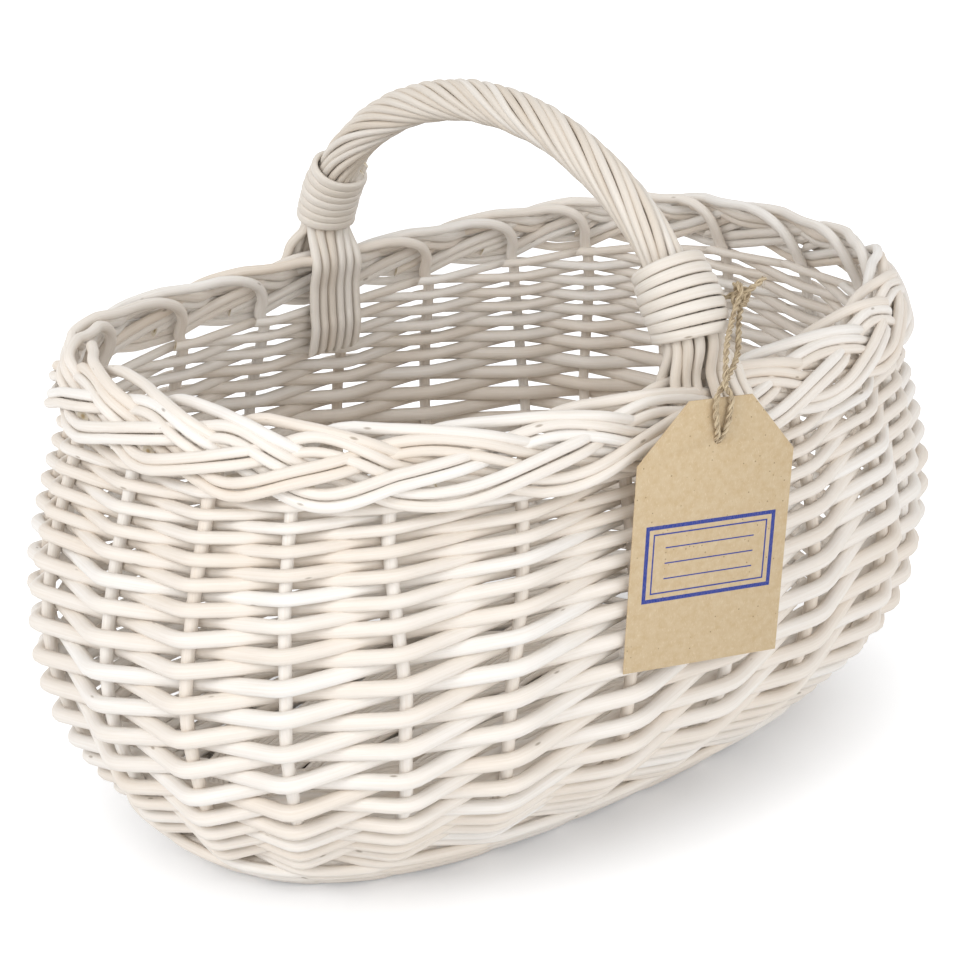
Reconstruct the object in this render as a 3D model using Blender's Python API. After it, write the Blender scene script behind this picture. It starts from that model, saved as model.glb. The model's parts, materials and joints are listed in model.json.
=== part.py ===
"""Woven willow foraging basket with a roped bow handle and a swing tag.

The basket is made the way a stake-and-strand basket is made: an oval base on split
sticks, side stakes pushed into that base and turned up, a three-rod upsett that locks
them, one randing rod for every stake, and a plaited border made of the stakes' own
ends. The bow handle is roped with thin rods and bound above each foot. A card tag
swings on twine below the front foot. Metres, +Z up, origin under the middle of the base.
"""

import math

import bmesh
import bpy
from mathutils import Matrix, Vector

# Body: the line that the side stakes follow, from the base to the border
WALL_HEIGHT = 0.2091
BELLY_HALF_LENGTH = 0.2251
BELLY_HALF_WIDTH = 0.1428
END_LIFT = 0.0099
OUTLINE_POWER = 2.6
LEVEL_SHARES = (0.0, 0.12, 0.30, 0.50, 0.70, 0.88, 1.0)
LENGTH_SHARES = (0.732, 0.869, 0.965, 1.0, 0.967, 0.914, 0.888)
WIDTH_SHARES = (0.549, 0.735, 0.943, 1.0, 0.984, 0.925, 0.890)

# Stakes: five beside the cross sticks on each long side, seven round each end
STAKE_DIAMETER = 0.0044
SIDE_STAKES = 5
END_STAKES = 7
SIDE_STAKE_PITCH_SHARE = 0.2561
SIDE_STAKE_SHIFT_SHARE = 0.048
END_STAKE_STEP = math.radians(15.9)
END_STAKE_TURN = math.radians(181.0)
STAKE_FOOT_LENGTH = 0.024
STAKE_TOP_SHARE = 0.905
WALL_STATIONS = 8
STATION_SPACING_POWER = 1.15
LEVEL_STEP_SHARE = 0.005
NORMAL_STEP_SHARE = 0.02

# Working gaps between rods that touch on the real basket
TOUCH_GAP = 0.0004
ROW_GAP = 0.00055

# Upsett: a three-rod wale in rounds of two lines each
WALE_RODS = 3
WALE_ROUNDS = 2
WALE_STEP_UP = 2
WALE_DIAMETER = 0.0057
WALE_LINE_PITCH = 0.0070
FLOOR_BLOCK_LENGTH = 0.50
FLOOR_BLOCK_DEPTH = 0.02
WALE_LINE_SHARES = (0.5, 0.0, -0.5, -0.5, 0.0, 0.5)
WALE_DEPTH_SHARES = (1.0, 1.0, 1.0, -0.2, -1.0, -0.2)

# Siding: one tapering randing rod for each stake, one stroke of it per stake
SIDING_START_GAP = 0.0010
SIDING_TOP_CLEAR = 0.0010
STROKE_RISE_BUTT = 0.0064
STROKE_RISE_TIP = 0.0036
ROD_END_SHARE = 0.16

# Border: a flat plait of three strands, every strand the end of one stake
BORDER_END_STAND_OFF = 0.0043
BORDER_SIDE_STAND_OFF = 0.0083
BORDER_LEAN = math.radians(25.2)
BORDER_STRAND_DIAMETER = 0.0062
BORDER_SWEEP = 0.0146
BORDER_CROSSING = 0.0040
STRAND_SPACES = 3
STRAND_TRIM_SHARE = 0.25
STRAND_STEPS = 10
BORDER_HALF_LENGTH = BELLY_HALF_LENGTH * LENGTH_SHARES[-1] + BORDER_END_STAND_OFF
BORDER_HALF_WIDTH = BELLY_HALF_WIDTH * WIDTH_SHARES[-1] + BORDER_SIDE_STAND_OFF

# Base: split sticks, and the mat woven round them
BASE_HEIGHT = 0.0063
BASE_DOME = 0.004
STICK_DIAMETER = 0.0064
LONG_STICKS = 3
LONG_STICK_PITCH = 0.0077
LONG_STICK_FAN = 0.009
LONG_STICK_FORK_SHARE = 0.78
LONG_STICK_END_SHARE = 0.8
STICK_MIDDLE_SHARE = 0.5
MAT_CREST = 0.0058
MAT_VALLEY = 0.0046
MAT_COURSES = 3
MAT_EDGE_INSET = 0.0090
SLATH_HALF_WIDTH = 0.0125
SLATH_MARGIN = 0.014
SLATH_DOME_SHARE = 0.3
STICK_END_INSET = 0.004
OUTLINE_POINTS = 28

# Bow handle: thin rods roped round a bow, in the plane x = 0
BOW_FOOT_INSET = 0.0024
BOW_SPRING_DROP = 0.0016
BOW_RISE = 0.109
BOW_SHIFT = 0.004
HANDLE_DIAMETER = 0.0192
NECK_DIAMETER = 0.0178
ROPE_STRANDS = 8
ROPE_GROOVE = 0.0011
ROPE_TURNS = 2
ROPE_EASE_SHARE = 0.55
ROPE_SWELL_POWER = 0.35
HANDLE_STATIONS = 40
NECK_ANGLE = math.radians(15.0)
LASHING_LOW_ANGLE = math.radians(16.2)
LASHING_HIGH_ANGLE = math.radians(32.6)
LASHING_DIAMETER = 0.0034
LASHING_TURNS = 7
LASHING_POINTS = 12
FOOT_ROD_DIAMETER = 0.0034
FOOT_ROD_PITCH = 0.0038
INNER_FOOT_RODS = 3
OUTER_FOOT_RODS = 4
INNER_FOOT_SHIFT = -0.0025
OUTER_FOOT_SHIFT = 0.0008
FOOT_ROOT_RISE = 0.010
INNER_FOOT_ROOT_INSET = 0.003
OUTER_FOOT_ROOT_OUTSET = 0.001
FOOT_GATHER_SHARE = 0.8
INNER_FOOT_TOP_SHARE = 1.2
INNER_FOOT_LEVEL_SHARES = (0.90, 0.80)
OUTER_FOOT_SWEEP_SHARES = (1.15, 0.45, -0.35, -1.1)
FOOT_ROD_SINK = 0.0011
BOW_HALF_SPAN = BORDER_HALF_WIDTH - BOW_FOOT_INSET
BOW_SPRING_HEIGHT = WALL_HEIGHT - BOW_SPRING_DROP
BOW_APEX_HEIGHT = BOW_SPRING_HEIGHT + BOW_RISE

# Swing tag and its twine
TAG_WIDTH = 0.075
TAG_HEIGHT = 0.119
TAG_CORNER_ACROSS = 0.0225
TAG_CORNER_DOWN = 0.026
TAG_THICKNESS = 0.0010
TAG_HOLE_DIAMETER = 0.0044
TAG_HOLE_DROP = 0.018
TAG_HOLE_POINTS = 12
TAG_ACROSS = -0.0190
TAG_STAND_OFF = 0.0184
TAG_HOLE_BELOW_RIM = 0.0019
TAG_TURN = math.radians(15.0)
TAG_ROLL = math.radians(3.0)
TWINE_DIAMETER = 0.0014
TWINE_PAIR_PITCH = 0.0019
PINCH_ACROSS = 0.0008
PINCH_OUT = 0.0019
PINCH_RISE = 0.0229
PINCH_BEND_SHARE = 0.45
TIE_ANGLE = math.radians(25.5)
TIE_SEAT_TURN = math.radians(13.0)
TIE_SEAT_DROP = 0.0015
TIE_KNOT_ACROSS = 0.0215
TIE_KNOT_OUT = 0.0147
KNOT_DIAMETER = 0.0052
KNOT_STAND_OFF = 0.0035
PINCH_GAP = 0.0007

WELD_DISTANCE = 0.00003
COLLECTION = "foraging_basket"
CUTTERS = "foraging_basket_cutters"


def clear_scene():
    for item in list(bpy.data.objects):
        bpy.data.objects.remove(item, do_unlink=True)


def collection(name):
    group = bpy.data.collections.new(name)
    bpy.context.scene.collection.children.link(group)
    return group


def material(name, colour, roughness):
    made = bpy.data.materials.new(name)
    made.use_nodes = True
    shader = made.node_tree.nodes["Principled BSDF"]
    shader.inputs["Base Color"].default_value = (*colour, 1.0)
    shader.inputs["Roughness"].default_value = roughness
    shader.inputs["Metallic"].default_value = 0.0
    made.diffuse_color = (*colour, 1.0)
    return made


def mix(first, second, share):
    return first + (second - first) * share


def spline_value(places, values, place):
    """Catmull-Rom value at a place along a table."""
    last = len(places) - 1
    index = 0
    while index < last - 1 and place > places[index + 1]:
        index += 1
    left, right = places[index], places[index + 1]
    before = max(index - 1, 0)
    after = min(index + 2, last)
    span = right - left
    share = (place - left) / span
    slope_left = (values[index + 1] - values[before]) / (right - places[before]) * span
    slope_right = (values[after] - values[index]) / (places[after] - left) * span
    cube, square = share ** 3, share ** 2
    return ((2 * cube - 3 * square + 1) * values[index] + (cube - 2 * square + share) * slope_left
            + (3 * square - 2 * cube) * values[index + 1] + (cube - square) * slope_right)


def oval(half_length, half_width, turn):
    """Point of the rounded oval that every level of the basket shares."""
    power = 2.0 / OUTLINE_POWER
    along, across = math.cos(turn), math.sin(turn)
    return (half_length * math.copysign(abs(along) ** power, along),
            half_width * math.copysign(abs(across) ** power, across))


def outward(turn, half_length, half_width):
    """Level unit vector that points out of the oval."""
    step = math.radians(1.0)
    x_low, y_low = oval(half_length, half_width, turn - step)
    x_high, y_high = oval(half_length, half_width, turn + step)
    return Vector((y_high - y_low, x_low - x_high, 0.0)).normalized()


def foot_level():
    return BASE_HEIGHT / WALL_HEIGHT


def station_levels():
    low, high = foot_level(), STAKE_TOP_SHARE
    count = WALL_STATIONS - 1
    return [mix(low, high, (index / count) ** STATION_SPACING_POWER) for index in range(WALL_STATIONS)]


def smooth_wall(turn, level):
    half_length = BELLY_HALF_LENGTH * spline_value(LEVEL_SHARES, LENGTH_SHARES, level)
    half_width = BELLY_HALF_WIDTH * spline_value(LEVEL_SHARES, WIDTH_SHARES, level)
    x, y = oval(half_length, half_width, turn)
    lift = END_LIFT * level ** 2 * (x / BORDER_HALF_LENGTH) ** 2
    return Vector((x, y, WALL_HEIGHT * level + lift))


def wall_point(turn, level):
    """Point of the stake line, which runs straight from station to station."""
    levels = station_levels()
    index = 0
    while index < len(levels) - 2 and level > levels[index + 1]:
        index += 1
    low, high = levels[index], levels[index + 1]
    share = (level - low) / (high - low)
    return smooth_wall(turn, low).lerp(smooth_wall(turn, high), share)


def wall_normal(turn, level):
    step = math.radians(0.5)
    across = wall_point(turn + step, level) - wall_point(turn - step, level)
    upward = smooth_wall(turn, level + NORMAL_STEP_SHARE) - smooth_wall(turn, level - NORMAL_STEP_SHARE)
    return across.cross(upward).normalized()


def side_turns():
    """Places of the stakes that stand beside the cross sticks, on both long sides."""
    turns = []
    for index in range(SIDE_STAKES):
        share = SIDE_STAKE_SHIFT_SHARE + SIDE_STAKE_PITCH_SHARE * (index - (SIDE_STAKES - 1) / 2)
        along = math.copysign(abs(share) ** (OUTLINE_POWER / 2), share)
        turns += [math.acos(along), 2 * math.pi - math.acos(along)]
    return turns


def end_turns():
    turns = []
    for index in range(END_STAKES):
        turn = END_STAKE_TURN + END_STAKE_STEP * (index - (END_STAKES - 1) / 2)
        turns += [turn, (math.pi - turn) % (2 * math.pi)]
    return turns


SIDE_TURNS = side_turns()
TURNS = sorted(SIDE_TURNS + end_turns())


def turn_at(place):
    """Turn of a place counted in stake spacings from the first stake."""
    count = len(TURNS)
    whole = math.floor(place)
    low = TURNS[whole % count] + 2 * math.pi * (whole // count)
    high = TURNS[(whole + 1) % count] + 2 * math.pi * ((whole + 1) // count)
    return mix(low, high, place - whole)


def new_curve(name, group, colour, splines, radius, resolution):
    """Rod from lists of (point, radius) pairs: a bevelled poly curve with filled caps."""
    data = bpy.data.curves.new(name, "CURVE")
    data.dimensions = "3D"
    data.bevel_depth = radius
    data.bevel_resolution = resolution
    data.use_fill_caps = True
    for points in splines:
        spline = data.splines.new("POLY")
        spline.points.add(len(points) - 1)
        for target, (place, size) in zip(spline.points, points):
            target.co = (*place, 1.0)
            target.radius = size / radius
    data.materials.append(colour)
    made = bpy.data.objects.new(name, data)
    group.objects.link(made)
    return made


def rod(name, group, colour, places, radii, resolution=0):
    return new_curve(name, group, colour, [list(zip(places, radii))], max(radii), resolution)


def as_mesh(made, group, colour):
    """Mesh of an evaluated curve with its caps welded on."""
    bpy.context.view_layer.update()
    depsgraph = bpy.context.evaluated_depsgraph_get()
    mesh = bpy.data.meshes.new_from_object(made.evaluated_get(depsgraph))
    shape = bmesh.new()
    shape.from_mesh(mesh)
    bmesh.ops.remove_doubles(shape, verts=shape.verts, dist=WELD_DISTANCE)
    shape.to_mesh(mesh)
    shape.free()
    mesh.materials.clear()
    mesh.materials.append(colour)
    name = made.name
    solid = bpy.data.objects.new(name, mesh)
    solid.matrix_world = made.matrix_world
    bpy.data.objects.remove(made, do_unlink=True)
    solid.name = name
    group.objects.link(solid)
    return solid


def mesh_object(name, group, colour, vertices, faces):
    mesh = bpy.data.meshes.new(name)
    mesh.from_pydata(vertices, [], faces)
    mesh.materials.append(colour)
    made = bpy.data.objects.new(name, mesh)
    group.objects.link(made)
    return made


def boolean(target, cutter, operation, solver="EXACT"):
    step = target.modifiers.new(operation.lower(), "BOOLEAN")
    step.operation = operation
    step.solver = solver
    step.object = cutter
    cutter.hide_render = True
    cutter.display_type = "WIRE"


def weld(target):
    """Closes the slivers that crossing cutters leave."""
    step = target.modifiers.new("weld", "WELD")
    step.merge_threshold = WELD_DISTANCE


def one_cutter(name, group, colour, solids):
    """One object from separate solids that don't touch each other."""
    shape = bmesh.new()
    for solid in solids:
        shape.from_mesh(solid.data)
        bpy.data.objects.remove(solid, do_unlink=True)
    mesh = bpy.data.meshes.new(name)
    shape.to_mesh(mesh)
    shape.free()
    mesh.materials.append(colour)
    made = bpy.data.objects.new(name, mesh)
    group.objects.link(made)
    return made


# Stakes

def border_point(turn, sweep, layer):
    """Point of the border from its place along, up the leaning face and out of it."""
    x, y = oval(BORDER_HALF_LENGTH, BORDER_HALF_WIDTH, turn)
    centre = Vector((x, y, WALL_HEIGHT + END_LIFT * (x / BORDER_HALF_LENGTH) ** 2))
    out = outward(turn, BORDER_HALF_LENGTH, BORDER_HALF_WIDTH)
    up = Vector((0.0, 0.0, 1.0))
    face = up * math.cos(BORDER_LEAN) - out * math.sin(BORDER_LEAN)
    normal = out * math.cos(BORDER_LEAN) + up * math.sin(BORDER_LEAN)
    return centre + face * sweep + normal * layer


def strand_point(stake, run):
    """Point of the plait: each strand runs up over two strands, and down again."""
    phase = 2 * math.pi * run / STRAND_SPACES
    sweep = -BORDER_SWEEP * math.cos(phase)
    layer = BORDER_CROSSING * math.sin(2 * phase)
    return border_point(turn_at(stake + run), sweep, layer)


def foot_direction(turn):
    """Side stakes lie along the cross sticks in the base, the others square to its edge."""
    if turn in SIDE_TURNS:
        return Vector((0.0, -math.copysign(1.0, math.sin(turn)), 0.0))
    return -outward(turn, foot_half_length(), foot_half_width())


def stake_path(stake):
    turn = TURNS[stake]
    foot = wall_point(turn, foot_level())
    places = [foot + foot_direction(turn) * STAKE_FOOT_LENGTH]
    places += [wall_point(turn, level) for level in station_levels()]
    radii = [STAKE_DIAMETER / 2] * len(places)
    for step in range(STRAND_STEPS + 1):
        run = mix(STRAND_TRIM_SHARE, STRAND_SPACES - STRAND_TRIM_SHARE, step / STRAND_STEPS)
        places.append(strand_point(stake, run))
        radii.append(BORDER_STRAND_DIAMETER / 2)
    return places, radii


def foot_half_length():
    return BELLY_HALF_LENGTH * spline_value(LEVEL_SHARES, LENGTH_SHARES, foot_level())


def foot_half_width():
    return BELLY_HALF_WIDTH * spline_value(LEVEL_SHARES, WIDTH_SHARES, foot_level())


def make_stakes(group, colour):
    for stake in range(len(TURNS)):
        places, radii = stake_path(stake)
        rod(f"stake_{stake + 1:02d}", group, colour, places, radii)


# Siding

def rod_offset(diameter):
    """Distance from a stake's line to the line of a rod that lies against it."""
    return STAKE_DIAMETER / 2 + diameter / 2 + TOUCH_GAP


def siding_strokes():
    """Strokes that fill the wall from the upsett to the foot of the border."""
    height = WALL_HEIGHT * (STAKE_TOP_SHARE - siding_start_level()) + SIDING_TOP_CLEAR
    return round(height / mix(STROKE_RISE_BUTT, STROKE_RISE_TIP, 0.5))


def stroke_rise(stroke):
    return mix(STROKE_RISE_BUTT, STROKE_RISE_TIP, stroke / (siding_strokes() - 1))


def siding_start_level():
    """The first strokes lie on the top line of the upsett."""
    top_line = 2 * WALE_ROUNDS - 0.5
    clear = WALE_DIAMETER / 2 + (STROKE_RISE_BUTT - ROW_GAP) / 2 + SIDING_START_GAP
    return wall_level_at((top_line - 0.5) * WALE_LINE_PITCH + clear - STROKE_RISE_BUTT / 2)


def siding_path(weaver):
    """Every second stroke passes in front of its stake and the others behind it."""
    level = siding_start_level()
    places, radii = [], []
    for stroke in range(siding_strokes()):
        turn = TURNS[(weaver + stroke) % len(TURNS)]
        diameter = stroke_rise(stroke) - ROW_GAP
        side = 1.0 if stroke % 2 else -1.0
        place = wall_point(turn, level)
        places.append(place + wall_normal(turn, level) * side * rod_offset(diameter))
        radii.append(diameter / 2)
        level += stroke_rise(stroke) / WALL_HEIGHT
    places[0] = places[0].lerp(places[1], -ROD_END_SHARE)
    places[-1] = places[-1].lerp(places[-2], -ROD_END_SHARE)
    return places, radii


def make_siding(group, colour):
    for weaver in range(len(TURNS)):
        places, radii = siding_path(weaver)
        rod(f"siding_rod_{weaver + 1:02d}", group, colour, places, radii)


# Upsett

def wall_level_at(distance):
    """Level that lies a distance up the wall from the foot, where it is steepest."""
    step = LEVEL_STEP_SHARE
    level, length = foot_level(), 0.0
    while length < distance:
        pieces = []
        for turn in (-math.pi / 2, 0.0):
            pieces.append((smooth_wall(turn, level + step) - smooth_wall(turn, level)).length)
        length += min(pieces)
        level += step
    return level - step * (length - distance) / min(pieces) if distance > 0.0 else level


def wale_line(place):
    """A round lies level, then steps up on to itself over the last spaces."""
    count = len(TURNS)
    whole = place // count
    share = max(0.0, (place % count - (count - WALE_STEP_UP)) / WALE_STEP_UP)
    return 2.0 * (whole + share)


def wale_path(index):
    """In front of two stakes and behind the third, each rod a stake after the last."""
    places = []
    offset = rod_offset(WALE_DIAMETER)
    half_steps = round(2 * (WALE_ROUNDS * len(TURNS) - WALE_STEP_UP)) - 2 * index
    for half_step in range(half_steps + 1):
        place = index + half_step / 2
        turn = turn_at(place)
        phase = half_step % (2 * WALE_RODS)
        line = wale_line(place) + WALE_LINE_SHARES[phase]
        level = wall_level_at((line + 0.5) * WALE_LINE_PITCH)
        depth = offset * WALE_DEPTH_SHARES[phase]
        places.append(wall_point(turn, level) + wall_normal(turn, level) * depth)
    return places


def make_upsett(group, cutters, colour):
    """The lowest round is pared flat at z = 0, where the basket stands."""
    floor = Vector((0.0, 0.0, -FLOOR_BLOCK_DEPTH / 2))
    bpy.ops.mesh.primitive_cube_add(size=1.0, location=floor,
                                    scale=(FLOOR_BLOCK_LENGTH, FLOOR_BLOCK_LENGTH, FLOOR_BLOCK_DEPTH))
    block = bpy.context.active_object
    block.name = "floor_block"
    for holder in list(block.users_collection):
        holder.objects.unlink(block)
    cutters.objects.link(block)
    for index in range(WALE_RODS):
        places = wale_path(index)
        radii = [WALE_DIAMETER / 2] * len(places)
        made = as_mesh(rod(f"upsett_rod_{index + 1}", group, colour, places, radii), group, colour)
        boolean(made, block, "DIFFERENCE")


# Base

def base_dome(share):
    """The base rises a little towards its middle, so the basket stands on its edge."""
    return BASE_HEIGHT + BASE_DOME * (1.0 - share ** 2)


def cross_stick_places():
    """Each cross stick lies beside the stakes of its two long sides."""
    beside = STICK_DIAMETER / 2 + STAKE_DIAMETER / 2 + 2 * TOUCH_GAP + ROW_GAP
    sides = [turn for turn in SIDE_TURNS if turn < math.pi]
    return sorted(oval(foot_half_length(), foot_half_width(), turn)[0] - beside for turn in sides)


def stick_ends(x):
    half_length = foot_half_length() - MAT_EDGE_INSET - STICK_END_INSET
    half_width = foot_half_width() - MAT_EDGE_INSET - STICK_END_INSET
    reach = (1.0 - (abs(x) / half_length) ** OUTLINE_POWER) ** (1.0 / OUTLINE_POWER)
    return half_width * reach


def stick_paths(end_gap):
    """Cross sticks from edge to edge, and long sticks that stop short of the stakes."""
    paths = []
    for x in cross_stick_places():
        end = stick_ends(x)
        reach = end + end_gap
        middle = end * STICK_MIDDLE_SHARE
        paths.append([(x, -reach, base_dome(1.0)), (x, -middle, base_dome(STICK_MIDDLE_SHARE)),
                      (x, middle, base_dome(STICK_MIDDLE_SHARE)), (x, reach, base_dome(1.0))])
    tip = foot_half_length() - MAT_EDGE_INSET - STAKE_FOOT_LENGTH
    for index in range(LONG_STICKS):
        side = index - (LONG_STICKS - 1) / 2
        y = LONG_STICK_PITCH * side
        reach, fork = tip + end_gap, tip * LONG_STICK_FORK_SHARE
        fanned = y + side * LONG_STICK_FAN
        low, high = base_dome(LONG_STICK_END_SHARE), base_dome(STICK_MIDDLE_SHARE)
        paths.append([(-reach, fanned, low), (-fork, y, high), (fork, y, high), (reach, fanned, low)])
    return paths


def stick_solids(name, group, colour, clearance):
    radius = STICK_DIAMETER / 2 + clearance
    solids = []
    for index, path in enumerate(stick_paths(clearance)):
        points = [(Vector(point), radius) for point in path]
        curve = new_curve(f"{name}_{index + 1}", group, colour, [points], radius, 1)
        solids.append(as_mesh(curve, group, colour))
    return solids


def make_base_sticks(group, cutters, colour):
    """Cross sticks split at the middle and threaded on the long sticks, as one piece."""
    solids = stick_solids("base_stick", cutters, colour, 0.0)
    sticks = solids[0]
    cutters.objects.unlink(sticks)
    group.objects.link(sticks)
    sticks.name = "base_sticks"
    for other in solids[1:]:
        boolean(sticks, other, "UNION")
    return sticks


def make_base_mat(group, cutters, colour):
    """Ribbed oval mat: the courses of the base weave, with the sticks run through it."""
    outer_length = foot_half_length() - MAT_EDGE_INSET
    outer_width = foot_half_width() - MAT_EDGE_INSET
    inner_length = max(abs(x) for x in cross_stick_places()) + STICK_DIAMETER / 2 + SLATH_MARGIN
    inner_width = SLATH_HALF_WIDTH
    rings = []
    steps = 2 * MAT_COURSES
    for index in range(steps + 1):
        share = index / steps
        thick = MAT_CREST if index % 2 else MAT_VALLEY
        rings.append((share, thick))
    loop = rings + [(share, -thick) for share, thick in reversed(rings)]
    vertices, faces = [], []
    for share, thick in loop:
        half_length = mix(inner_length, outer_length, share)
        half_width = mix(inner_width, outer_width, share)
        for index in range(OUTLINE_POINTS):
            turn = 2 * math.pi * (index + 0.5) / OUTLINE_POINTS
            x, y = oval(half_length, half_width, turn)
            vertices.append((x, y, base_dome(mix(SLATH_DOME_SHARE, 1.0, share)) + thick))
    count = len(loop)
    for ring in range(count):
        after = (ring + 1) % count
        for index in range(OUTLINE_POINTS):
            beside = (index + 1) % OUTLINE_POINTS
            faces.append((ring * OUTLINE_POINTS + index, after * OUTLINE_POINTS + index,
                          after * OUTLINE_POINTS + beside, ring * OUTLINE_POINTS + beside))
    mat = mesh_object("base_mat", group, colour, vertices, faces)
    for channel in stick_solids("stick_channel", cutters, colour, TOUCH_GAP):
        boolean(mat, channel, "DIFFERENCE")
    radius = STAKE_DIAMETER / 2 + TOUCH_GAP
    holes = []
    for stake in range(len(TURNS)):
        places, radii = stake_path(stake)
        direction = (places[0] - places[1]).normalized()
        points = [(places[0] + direction * TOUCH_GAP, radius), (places[1] - direction * STICK_DIAMETER, radius)]
        cutter = new_curve(f"stake_hole_{stake + 1:02d}", cutters, colour, [points], radius, 1)
        holes.append(as_mesh(cutter, cutters, colour))
    boolean(mat, one_cutter("stake_holes", cutters, colour, holes), "DIFFERENCE")
    weld(mat)
    return mat


# Handle

def bow_point(angle):
    y = BOW_SHIFT * math.sin(angle) - BOW_HALF_SPAN * math.cos(angle)
    z = BOW_SPRING_HEIGHT + (BOW_APEX_HEIGHT - BOW_SPRING_HEIGHT) * math.sin(angle)
    return Vector((0.0, y, z))


def bow_frame(angle):
    """Centre, tangent and outward normal of the bow in its plane."""
    step = math.radians(0.5)
    tangent = (bow_point(angle + step) - bow_point(angle - step)).normalized()
    normal = Vector((0.0, -tangent.z, tangent.y))
    return bow_point(angle), tangent, normal


def rope_section(angle, share):
    """Ring of points at one station of the roped handle."""
    centre, tangent, normal = bow_frame(angle)
    side = Vector((1.0, 0.0, 0.0))
    ease = share - math.sin(2 * math.pi * share) / (2 * math.pi) * ROPE_EASE_SHARE
    twist = 2 * math.pi * ROPE_TURNS * ease
    swell = math.sin(math.pi * share) ** ROPE_SWELL_POWER if 0.0 < share < 1.0 else 0.0
    crest = mix(NECK_DIAMETER, HANDLE_DIAMETER, swell) / 2
    ring = []
    for index in range(2 * ROPE_STRANDS):
        around = math.pi * index / ROPE_STRANDS + twist
        radius = crest if index % 2 else crest - ROPE_GROOVE
        ring.append(centre + (normal * math.cos(around) + side * math.sin(around)) * radius)
    return ring


def foot_rods(end):
    """Paths of the rod ends below a lashing: some inside the border, the rest outside."""
    angle = NECK_ANGLE if end < 0 else math.pi - NECK_ANGLE
    centre, tangent, normal = bow_frame(angle)
    mirror = Vector((1.0, 1.0 if end < 0 else -1.0, 1.0))
    seat = BORDER_CROSSING + BORDER_STRAND_DIAMETER / 2 + TOUCH_GAP + FOOT_ROD_DIAMETER / 2 - FOOT_ROD_SINK
    turn = -math.pi / 2
    paths = []
    for index in range(INNER_FOOT_RODS):
        x = INNER_FOOT_SHIFT + FOOT_ROD_PITCH * (index - (INNER_FOOT_RODS - 1) / 2)
        root = Vector((x * FOOT_GATHER_SHARE, -abs(centre.y) + INNER_FOOT_ROOT_INSET, centre.z + FOOT_ROOT_RISE))
        top = border_point(turn, BORDER_SWEEP * INNER_FOOT_TOP_SHARE, -seat)
        middle = border_point(turn, 0.0, -seat - TOUCH_GAP)
        places = [top, middle] + [wall_inner_point(turn, level) for level in INNER_FOOT_LEVEL_SHARES]
        paths.append([root] + [Vector((x, place.y, place.z)) for place in places])
    for index in range(OUTER_FOOT_RODS):
        x = OUTER_FOOT_SHIFT + FOOT_ROD_PITCH * (index - (OUTER_FOOT_RODS - 1) / 2)
        root = Vector((x * FOOT_GATHER_SHARE, -abs(centre.y) - OUTER_FOOT_ROOT_OUTSET, centre.z + FOOT_ROOT_RISE))
        places = [border_point(turn, BORDER_SWEEP * share, seat) for share in OUTER_FOOT_SWEEP_SHARES]
        paths.append([root] + [Vector((x, place.y, place.z)) for place in places])
    turned = []
    for path in paths:
        turned.append([Vector((p.x * mirror.x, p.y * mirror.y, p.z)) for p in path])
    return turned


def wall_inner_point(turn, level):
    """Point that clears the siding on its inner side."""
    stroke_diameter = STROKE_RISE_BUTT - ROW_GAP
    depth = STAKE_DIAMETER / 2 + stroke_diameter + 2 * TOUCH_GAP + FOOT_ROD_DIAMETER / 2
    return wall_point(turn, level) - wall_normal(turn, level) * depth


def make_handle(group, cutters, colour):
    vertices, faces = [], []
    around = 2 * ROPE_STRANDS
    for station in range(HANDLE_STATIONS):
        share = station / (HANDLE_STATIONS - 1)
        angle = mix(NECK_ANGLE, math.pi - NECK_ANGLE, share)
        vertices += rope_section(angle, share)
    for station in range(HANDLE_STATIONS - 1):
        low, high = station * around, (station + 1) * around
        for index in range(around):
            beside = (index + 1) % around
            faces.append((low + index, high + index, high + beside, low + beside))
    faces.append(tuple(range(around)))
    last = (HANDLE_STATIONS - 1) * around
    faces.append(tuple(last + index for index in reversed(range(around))))
    handle = mesh_object("handle_rods", group, colour, vertices, faces)
    for end in (-1, 1):
        for index, path in enumerate(foot_rods(end)):
            side = "front" if end < 0 else "back"
            points = [(place, FOOT_ROD_DIAMETER / 2) for place in path]
            curve = new_curve(f"foot_rod_{side}_{index + 1}", cutters, colour, [points], FOOT_ROD_DIAMETER / 2, 0)
            boolean(handle, as_mesh(curve, cutters, colour), "UNION")
    return handle


def lashing_path(low_angle, high_angle):
    """One rod wound round the neck of the handle."""
    radius = HANDLE_DIAMETER / 2 + TOUCH_GAP + LASHING_DIAMETER / 2
    side = Vector((1.0, 0.0, 0.0))
    places = []
    steps = LASHING_TURNS * LASHING_POINTS
    for step in range(steps + 1):
        share = step / steps
        centre, tangent, normal = bow_frame(mix(low_angle, high_angle, share))
        around = 2 * math.pi * LASHING_TURNS * share
        places.append(centre + (normal * math.cos(around) + side * math.sin(around)) * radius)
    return places


def least_gap(places, diameter, turn_points):
    """Least distance between the surfaces of neighbouring turns."""
    gaps = []
    for index in range(len(places) - turn_points):
        for shift in (-2, -1, 0, 1, 2):
            other = index + turn_points + shift
            if index + turn_points // 2 < other < len(places):
                gaps.append((places[index] - places[other]).length - diameter)
    return min(gaps)


def make_lashings(group, colour):
    pairs = (("lashing_front", LASHING_LOW_ANGLE, LASHING_HIGH_ANGLE),
             ("lashing_back", math.pi - LASHING_LOW_ANGLE, math.pi - LASHING_HIGH_ANGLE))
    for name, low_angle, high_angle in pairs:
        places = lashing_path(low_angle, high_angle)
        print(name, "least gap between turns, mm:", round(1000 * least_gap(places, LASHING_DIAMETER, LASHING_POINTS), 2))
        rod(name, group, colour, places, [LASHING_DIAMETER / 2] * len(places), 1)


# Tag and twine

def tag_hole():
    """The card hangs clear of the belly, its hole just below the rim."""
    return Vector((TAG_ACROSS, -BELLY_HALF_WIDTH - TAG_STAND_OFF, WALL_HEIGHT - TAG_HOLE_BELOW_RIM))


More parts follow.
